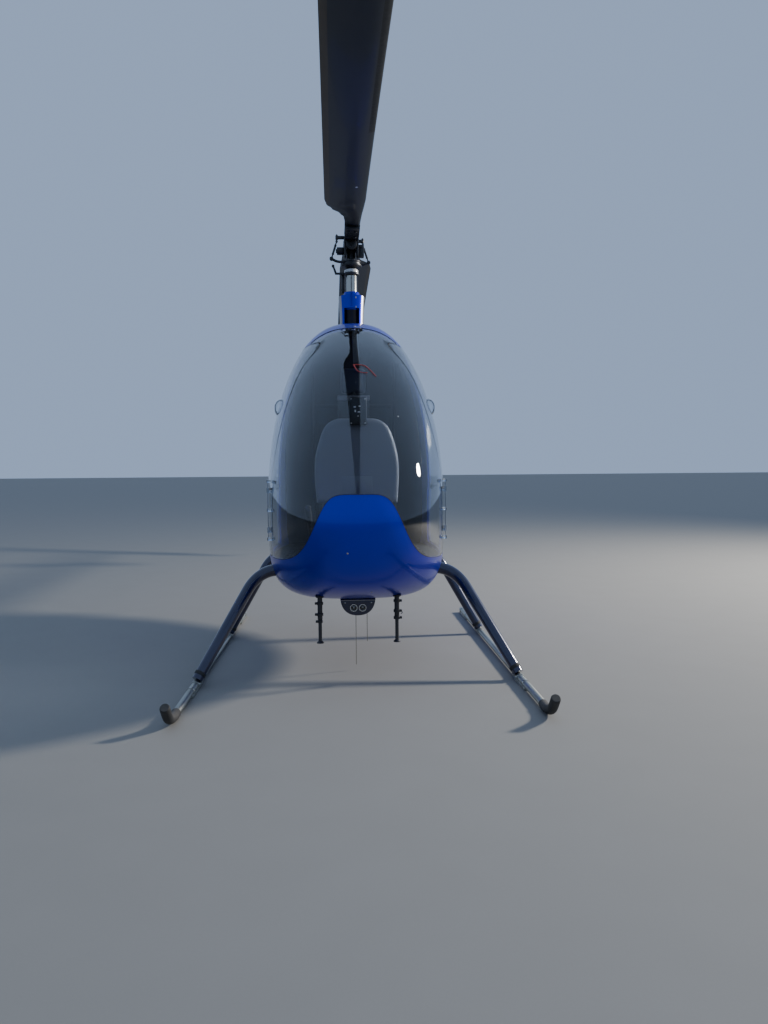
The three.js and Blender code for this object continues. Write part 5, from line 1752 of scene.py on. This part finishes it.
BOOM = {"start": MAST_Y + 830.3, "end": MAST_Y + 3500, "radius": 76, "end_radius": 44}
GEARBOX_Z = 1170
SHAFT_Y = MAST_Y + 3590
TAIL_X = 150
FIN_FRONT = MAST_Y + 3640.3
WING = {"front": MAST_Y + 2700, "rear": MAST_Y + 2880, "z": 1148.5, "half": 329}

# Tail blade sections. Columns: distance from the shaft, leading edge, trailing edge, thickness
TAIL_PLAN = (
    (90, 20, 20, 13), (115, 21, 22, 13), (140, 26, 34, 12),
    (165, 33, 50, 11), (200, 34, 52, 10.5), (320, 34, 52, 10),
    (455, 34, 52, 9.5), (465, 32, 49, 8), (470, 27, 43, 5),
)


def boom_at(y):
    """Height and radius of the boom's middle at a Y."""
    t = (y - BOOM["start"] - 60) / (BOOM["end"] - BOOM["start"] - 60)
    return 1102 + 64 * t, BOOM["radius"] + (BOOM["end_radius"] - BOOM["radius"]) * t


def boom_band(bm, y, proud):
    """A flat band round the boom."""
    z, radius = boom_at(y)
    band(bm, radius - 1, radius + proud, -12, 12, (0, y, z), (0, 1, 0.0245), 0.8, 44)


def make_boom():
    start, end = BOOM["start"], BOOM["end"]
    marks = [(start, 1100, 91.5), (start + 4, 1100.1, 92), (start + 36, 1101, 90.5),
             (start + 40, 1101, 89.5), (start + 52, 1101.5, 80)]
    marks += [(y, *boom_at(y)) for y in between(start + 60, end, 24)]
    piece("boom_skin", made(tube, [(0, y, z) for y, z, _ in marks], [radius for _, _, radius in marks], 56),
          "Cobalt paint", "blue_paint", "tail_boom", angle=30)
    bm, rivets = bmesh.new(), bmesh.new()
    for y in (3275, 4195, 4495):
        boom_band(bm, y, 1.2)
    piece("boom_bands", bm, "Cobalt paint", "blue_paint")
    for y, proud in ((3267, 1.2), (3283, 1.2), (4188, 1.2), (4503, 1.2), (end - 15, 0)):
        z, radius = boom_at(y)
        for c, s in around(20):
            screw(rivets, ((radius + proud) * c, y, z + (radius + proud) * s), (c, 0, s), 2.6)
    for c, s in around(12, 0.5):
        bolt(rivets, (90.5 * c, start + 20, 1100.5 + 90.5 * s), (c, 0, s), 4.2, 5)
    piece("boom_rivets", rivets, "Bright steel", "blue_paint")

    front, rear, z, half = WING["front"], WING["rear"], WING["z"], WING["half"]
    section = [(front + (rear - front) * along, z + rise) for along, rise in aerofoil(14, 15, -12)]
    (z0, r0), (z1, r1) = boom_at(front - 20), boom_at(rear + 20)
    core = solid(rod, (0, front - 20, z0), (0, rear + 20, z1), r0 - 0.5, r1 - 0.5, sides=56)
    bm = cut_away(solid(slab, section, "X", -half, half), core)
    plate = [(front - 10, 1100), (rear + 10, 1090), (rear + 20, 1150), (rear + 20, 1212),
             (rear + 8, 1220), (front + 28, 1220), (front + 12, 1205)]
    for _, side in SIDES:
        slab(bm, plate, "X", side * 329.2, side * 338.5, 2.5)
    piece("stabiliser_skin", bm, "Cobalt paint", "blue_paint", "stabiliser", angle=35, recalc=False)
    bm = bmesh.new()
    for y in (front + 20, rear - 30):
        boom_band(bm, y, 7)
        z, radius = boom_at(y)
        for _, side in SIDES:
            bolt(bm, (side * 30, y, z + radius + 5), (side * 0.3, 0, 1), 4, 6)
    for _, side in SIDES:
        for y in between(front + 30, front + 165, 3):
            screw(bm, (side * 338.5, y, 1149), (side, 0, 0), 3)
    piece("stabiliser_fittings", bm, "Bright steel", "blue_paint")


class HELI_OT_boom(Operator):
    """Builds the tail boom with its flange, bands and rivets, and the stabiliser"""

    bl_idname = "heli.boom"
    bl_label = "Tail boom"

    def execute(self, context):
        make_boom()
        return {"FINISHED"}


def tail_blade(side):
    """A blade of the tail rotor with its bright tip."""
    z = GEARBOX_Z
    bm = made(loft, [
        [(TAIL_X + rise * thick, SHAFT_Y + side * (along * (lead + trail) - lead), z + side * reach)
         for along, rise in aerofoil(18)] for reach, lead, trail, thick in TAIL_PLAN])
    for face in bm.faces:
        face.material_index = int(abs(face.calc_center_median().z - z) > 420)
    return bm


def make_tail():
    y, z = SHAFT_Y, GEARBOX_Z
    start = BOOM["end"] + 0.3
    bm = made(box, (-40, start + 12, z - 40), (40, MAST_Y + 3640, z + 40), 12, segments=4)
    rod(bm, (0, start, z - 2), (0, start + 16, z), 44, soft=2)
    rod(bm, (36, y, z), (60, y, z), 34, soft=2, sides=36)
    rod(bm, (58, y, z), (112, y, z), 25, 19, sides=36)
    for x in between(64, 100, 4):
        rod(bm, (x, y, z), (x + 3, y, z), 30, sides=32)
    rod(bm, (-48, y, z), (-38, y, z), 28, soft=2, sides=32)
    for c, s in around(6):
        bolt(bm, (60, y + 29.5 * c, z + 29.5 * s), (1, 0, 0), 3.4, 5)
        bolt(bm, (-48, y + 21 * c, z + 21 * s), (-1, 0, 0), 3, 4)
    rod(bm, (0, y - 30, z + 40), (0, y - 30, z + 50), 9, sides=6)
    piece("gearbox_case", bm, "Cast alloy", "casting", "tail_gearbox")
    piece("gearbox_shaft", made(rod, (108, y, z), (153, y, z), 11.8, soft=0.8), "Bright steel", "casting")

    outline = [(3640.3, 1214), (3700, 1640), *bend((3700, 1640), (3712, 1660), (3740, 1660)),
               (3850, 1640), (3800, 1170), (3770, 760),
               *bend((3770, 760), (3720, 735), (3690, 760)), (3640.3, 1126)]
    bm, fittings = bmesh.new(), bmesh.new()
    slab(bm, [(MAST_Y + back, height) for back, height in outline], "X", -9, 9)
    root = [e for e in bm.edges if max(v.co.y for v in e.verts) < FIN_FRONT + 2]
    flat = {e for f in bm.faces if len(f.verts) > 8 for e in f.edges}
    round_off(bm, flat.difference(root), 5.5, 4)
    piece("fin_skin", bm, "Cobalt paint", "blue_paint", "tail_fin")
    for _, side in SIDES:
        box(fittings, (side * 8.5, FIN_FRONT + 2, 1130), (side * 11.5, FIN_FRONT + 50, 1210), 1)
        for height in (1142, 1170, 1198):
            bolt(fittings, (side * 11.5, FIN_FRONT + 28, height), (side, 0, 0), 4.2, 5)
        for k in range(7):
            screw(fittings, (side * 9, MAST_Y + 3705 + 12 * k, 1270 + 50 * k), (side, 0, 0), 3)
    piece("fin_fittings", fittings, "Bright steel", "blue_paint")

    bm = bmesh.new()
    marks = ((3560, 1124.7), (3600, 760), (3640, 660), (3720, 600), (3800, 590))
    route = spline([(0, MAST_Y + back, height) for back, height in marks], 10)
    tube(bm, route, [9] * (len(route) - 1) + [7], 20)
    lathe(bm, ((0, 0), (21, 0), (21, 4), (11.5, 8), (10.5, 20), (0, 20)), route[0], (0, 0.1, -1), 28)
    piece("bumper_tube", bm, "Bright steel", "bare_steel", "tail_bumper")

    hub = solid(rod, (131, y, z), (160, y, z), 37, 34, sides=36, soft=2)
    bm = cut_away(hub, solid(rod, (100, y, z), (153.5, y, z), 12.5, sides=28))
    rod(bm, (160, y, z), (176, y, z), 18, sides=6)
    for _, side in SIDES:
        box(bm, (138, y - 20, z + side * 25), (162, y + 20, z + side * 115), 3)
        for reach in (75, 100):
            bolt(bm, (162, y, z + side * reach), (1, 0, 0), 6, 7)
        tube(bm, ((128, y + side * 30, z + side * 50), (134, y + side * 34, z + side * 62)), 4.5, 12)
    piece("tail_hub", bm, "Dark steel", "blade_paint", "tail_rotor", "tail_rotor", recalc=False)
    for word, side in (("up", 1), ("down", -1)):
        piece(f"tail_blade_{word}", tail_blade(side), ("Blade paint", "White mark"), "blade_paint",
              body="tail_rotor", angle=50)


class HELI_OT_tail(Operator):
    """Builds the tail gearbox, fin, bumper and two-blade tail rotor"""

    bl_idname = "heli.tail"
    bl_label = "Tail fin and rotor"

    def execute(self, context):
        make_tail()
        return {"FINISHED"}


def make_engine():
    front, end = 1312.3, 1900
    bm = made(box, (-150, front, 650), (150, end, 880), 10, segments=3)
    for _, side in SIDES:
        for y in between(front + 90, front + 506, 8):
            box(bm, (side * 149, y, 700), (side * 165, y + 8, 860), 2)
        for y in (front + 120, front + 340):
            lathe(bm, ((0, 0), (40, 0), (40, 12), (30, 16), (30, 34), (14, 40), (0, 40)),
                  (side * 80, y, 879), steps=28)
        for y in between(front + 60, front + 540, 4):
            bolt(bm, (side * 130, y, 880), UP, 6)
    piece("engine_case", bm, "Cast alloy", "casting", "engine_block")
    bm = bmesh.new()
    start, x = end + 0.3, -60
    box(bm, (x - 35, start, 710), (x + 35, start + 10, 780), 4)
    for shift in (-26, 26):
        for z in (719, 771):
            bolt(bm, (x + shift, start + 10, z), AFT, 5)
    route = spline([(x, start + 8, 745), (x, 2050, 745), (x, 2160, 750), (x, 2250, 762)], 8)
    for radius in (24, 22.5):
        tube(bm, route, radius, 36, caps=False)
    band(bm, 22.4, 25.6, -6, 0.3, route[-1], route[-1] - route[-2], soft=0.4)
    band(bm, 23.8, 26.5, -9, 9, route[10], AFT, soft=0.1)
    side = Vector((24, 12, 0))
    rod(bm, route[10] + side * Vector((1, -1, 0)), route[10] + side, 4)
    piece("exhaust_pipe", bm, "Exhaust steel", "bare_steel", "exhaust", angle=40)


class HELI_OT_engine(Operator):
    """Dresses the engine block and exhaust that show through the cowl's openings"""

    bl_idname = "heli.engine"
    bl_label = "Engine and exhaust"

    def execute(self, context):
        make_engine()
        return {"FINISHED"}


# Finishes of the frame's own nodes

NODE_FINISH = {
    "Interior black": "cabin_floor bulkhead instrument_display cyclic_stick collective_lever",
    "Pod grey": "instrument_pod",
    "Cushion cloth": "pilot_seat passenger_seat headrest",
    "Bright steel": "pedals long_whip short_whip hinge_strip_port hinge_strip_starboard "
                    "mast_tube tail_bumper",
    "Exhaust steel": "exhaust",
    "Cast alloy": "engine_block tail_gearbox",
    "Cobalt paint": "lower_hull roof_panel aft_cowl door_frame_port door_frame_starboard "
                    "mast_housing mast_fairing tail_boom stabiliser tail_fin",
    "Clear acrylic": "windshield door_pane_port door_pane_starboard",
    "Leg paint": "lamp_pod front_leg_tube rear_leg_tube",
    "Lamp glass": "lamp_port lamp_starboard",
    "Skid tube": "skid_port skid_starboard",
    "Toe rubber": "toe_cap_port toe_cap_starboard",
    "Dark steel": "belly_post_port belly_post_starboard control_plate swashplate "
                  "pitch_link_a pitch_link_b rotor_head",
    "Blade paint": "blade_forward blade_aft tail_rotor",
}


def make_node_finishes():
    for material, names in NODE_FINISH.items():
        for name in names.split():
            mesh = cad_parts[name].data
            mesh.materials.clear()
            mesh.materials.append(MATERIALS[material])


class HELI_OT_node_finishes(Operator):
    """Gives every node of the frame its own finish"""

    bl_idname = "heli.node_finishes"
    bl_label = "Finishes of the frame"

    def execute(self, context):
        make_node_finishes()
        return {"FINISHED"}


# Stage

CAMERA_PLACE = (-0.0676, -4.9677, 0.9442)
CAMERA_YAW = math.radians(3.12)
CAMERA_PITCH = math.radians(-3.09)
CAMERA_ROLL = math.radians(-0.46)
FOCAL_PIXELS = 763.7
IMAGE_HEIGHT = 1024
SENSOR = 36.0
LAMP_PLACE = Vector((7.6, 0.8, 4.1))
LAMP_AIM = Vector((0, -0.8, 0.9))


def make_stage():
    scene = bpy.context.scene
    bm = bmesh.new()
    bmesh.ops.create_grid(bm, x_segments=2, y_segments=2, size=150)
    floor = into_object("Floor", bm)
    floor.data.materials.append(MATERIALS["Pale floor"])

    scene.world = bpy.data.worlds.new("Studio")
    scene.world.use_nodes = True
    sky = scene.world.node_tree.nodes["Background"]
    sky.inputs["Color"].default_value = (0.46, 0.62, 0.92, 1)
    sky.inputs["Strength"].default_value = 0.68

    light = bpy.data.lights.new("Key softbox", "AREA")
    light.shape = "DISK"
    light.size = 0.9
    light.energy = 950
    light.color = (1.0, 0.95, 0.86)
    lamp = bpy.data.objects.new("Key softbox", light)
    lamp.location = LAMP_PLACE
    lamp.rotation_euler = (LAMP_AIM - LAMP_PLACE).to_track_quat("-Z", "Y").to_euler()
    scene.collection.objects.link(lamp)

    lens = bpy.data.cameras.new("Photo camera")
    lens.sensor_width = SENSOR
    lens.lens = FOCAL_PIXELS * SENSOR / IMAGE_HEIGHT
    lens.clip_start = 0.05
    lens.clip_end = 500
    camera = bpy.data.objects.new("Photo camera", lens)
    turn = Matrix.Rotation(-CAMERA_YAW, 4, "Z") @ Matrix.Rotation(math.pi / 2 + CAMERA_PITCH, 4, "X")
    camera.matrix_world = Matrix.Translation(CAMERA_PLACE) @ turn @ Matrix.Rotation(CAMERA_ROLL, 4, "Z")
    scene.collection.objects.link(camera)
    scene.camera = camera


class HELI_OT_stage(Operator):
    """Lays the pale floor, hangs the soft lamp and places the camera"""

    bl_idname = "heli.stage"
    bl_label = "Stage, lights and camera"

    def execute(self, context):
        make_stage()
        return {"FINISHED"}


STEPS = (
    HELI_OT_stage,
    HELI_OT_node_finishes,
    HELI_OT_canopy_fittings,
    HELI_OT_pod_panels,
    HELI_OT_seals,
    HELI_OT_doors,
    HELI_OT_cowl_details,
    HELI_OT_seats,
    HELI_OT_instruments,
    HELI_OT_controls,
    HELI_OT_blades,
    HELI_OT_head,
    HELI_OT_mast,
    HELI_OT_fairing,
    HELI_OT_gear,
    HELI_OT_belly,
    HELI_OT_boom,
    HELI_OT_tail,
    HELI_OT_engine,
)


class HELI_PT_panel(Panel):
    """Lists the settings and the steps in order"""

    bl_label = "Helicopter"
    bl_idname = "HELI_PT_panel"
    bl_space_type = "VIEW_3D"
    bl_region_type = "UI"
    bl_category = "Helicopter"

    def draw(self, context):
        for name in HelicopterSettings.__annotations__:
            self.layout.prop(context.scene.helicopter, name)
        for step in STEPS:
            self.layout.operator(step.bl_idname)


def register():
    for cls in (HelicopterSettings, *STEPS, HELI_PT_panel):
        bpy.utils.register_class(cls)
    bpy.types.Scene.helicopter = PointerProperty(type=HelicopterSettings)


def unregister():
    del bpy.types.Scene.helicopter
    for cls in reversed((HelicopterSettings, *STEPS, HELI_PT_panel)):
        bpy.utils.unregister_class(cls)


def main():
    register()
    make_groups()
    make_materials()
    for step in STEPS:
        module, name = step.bl_idname.split(".")
        getattr(getattr(bpy.ops, module), name)()


if __name__ == "__main__":
    main()
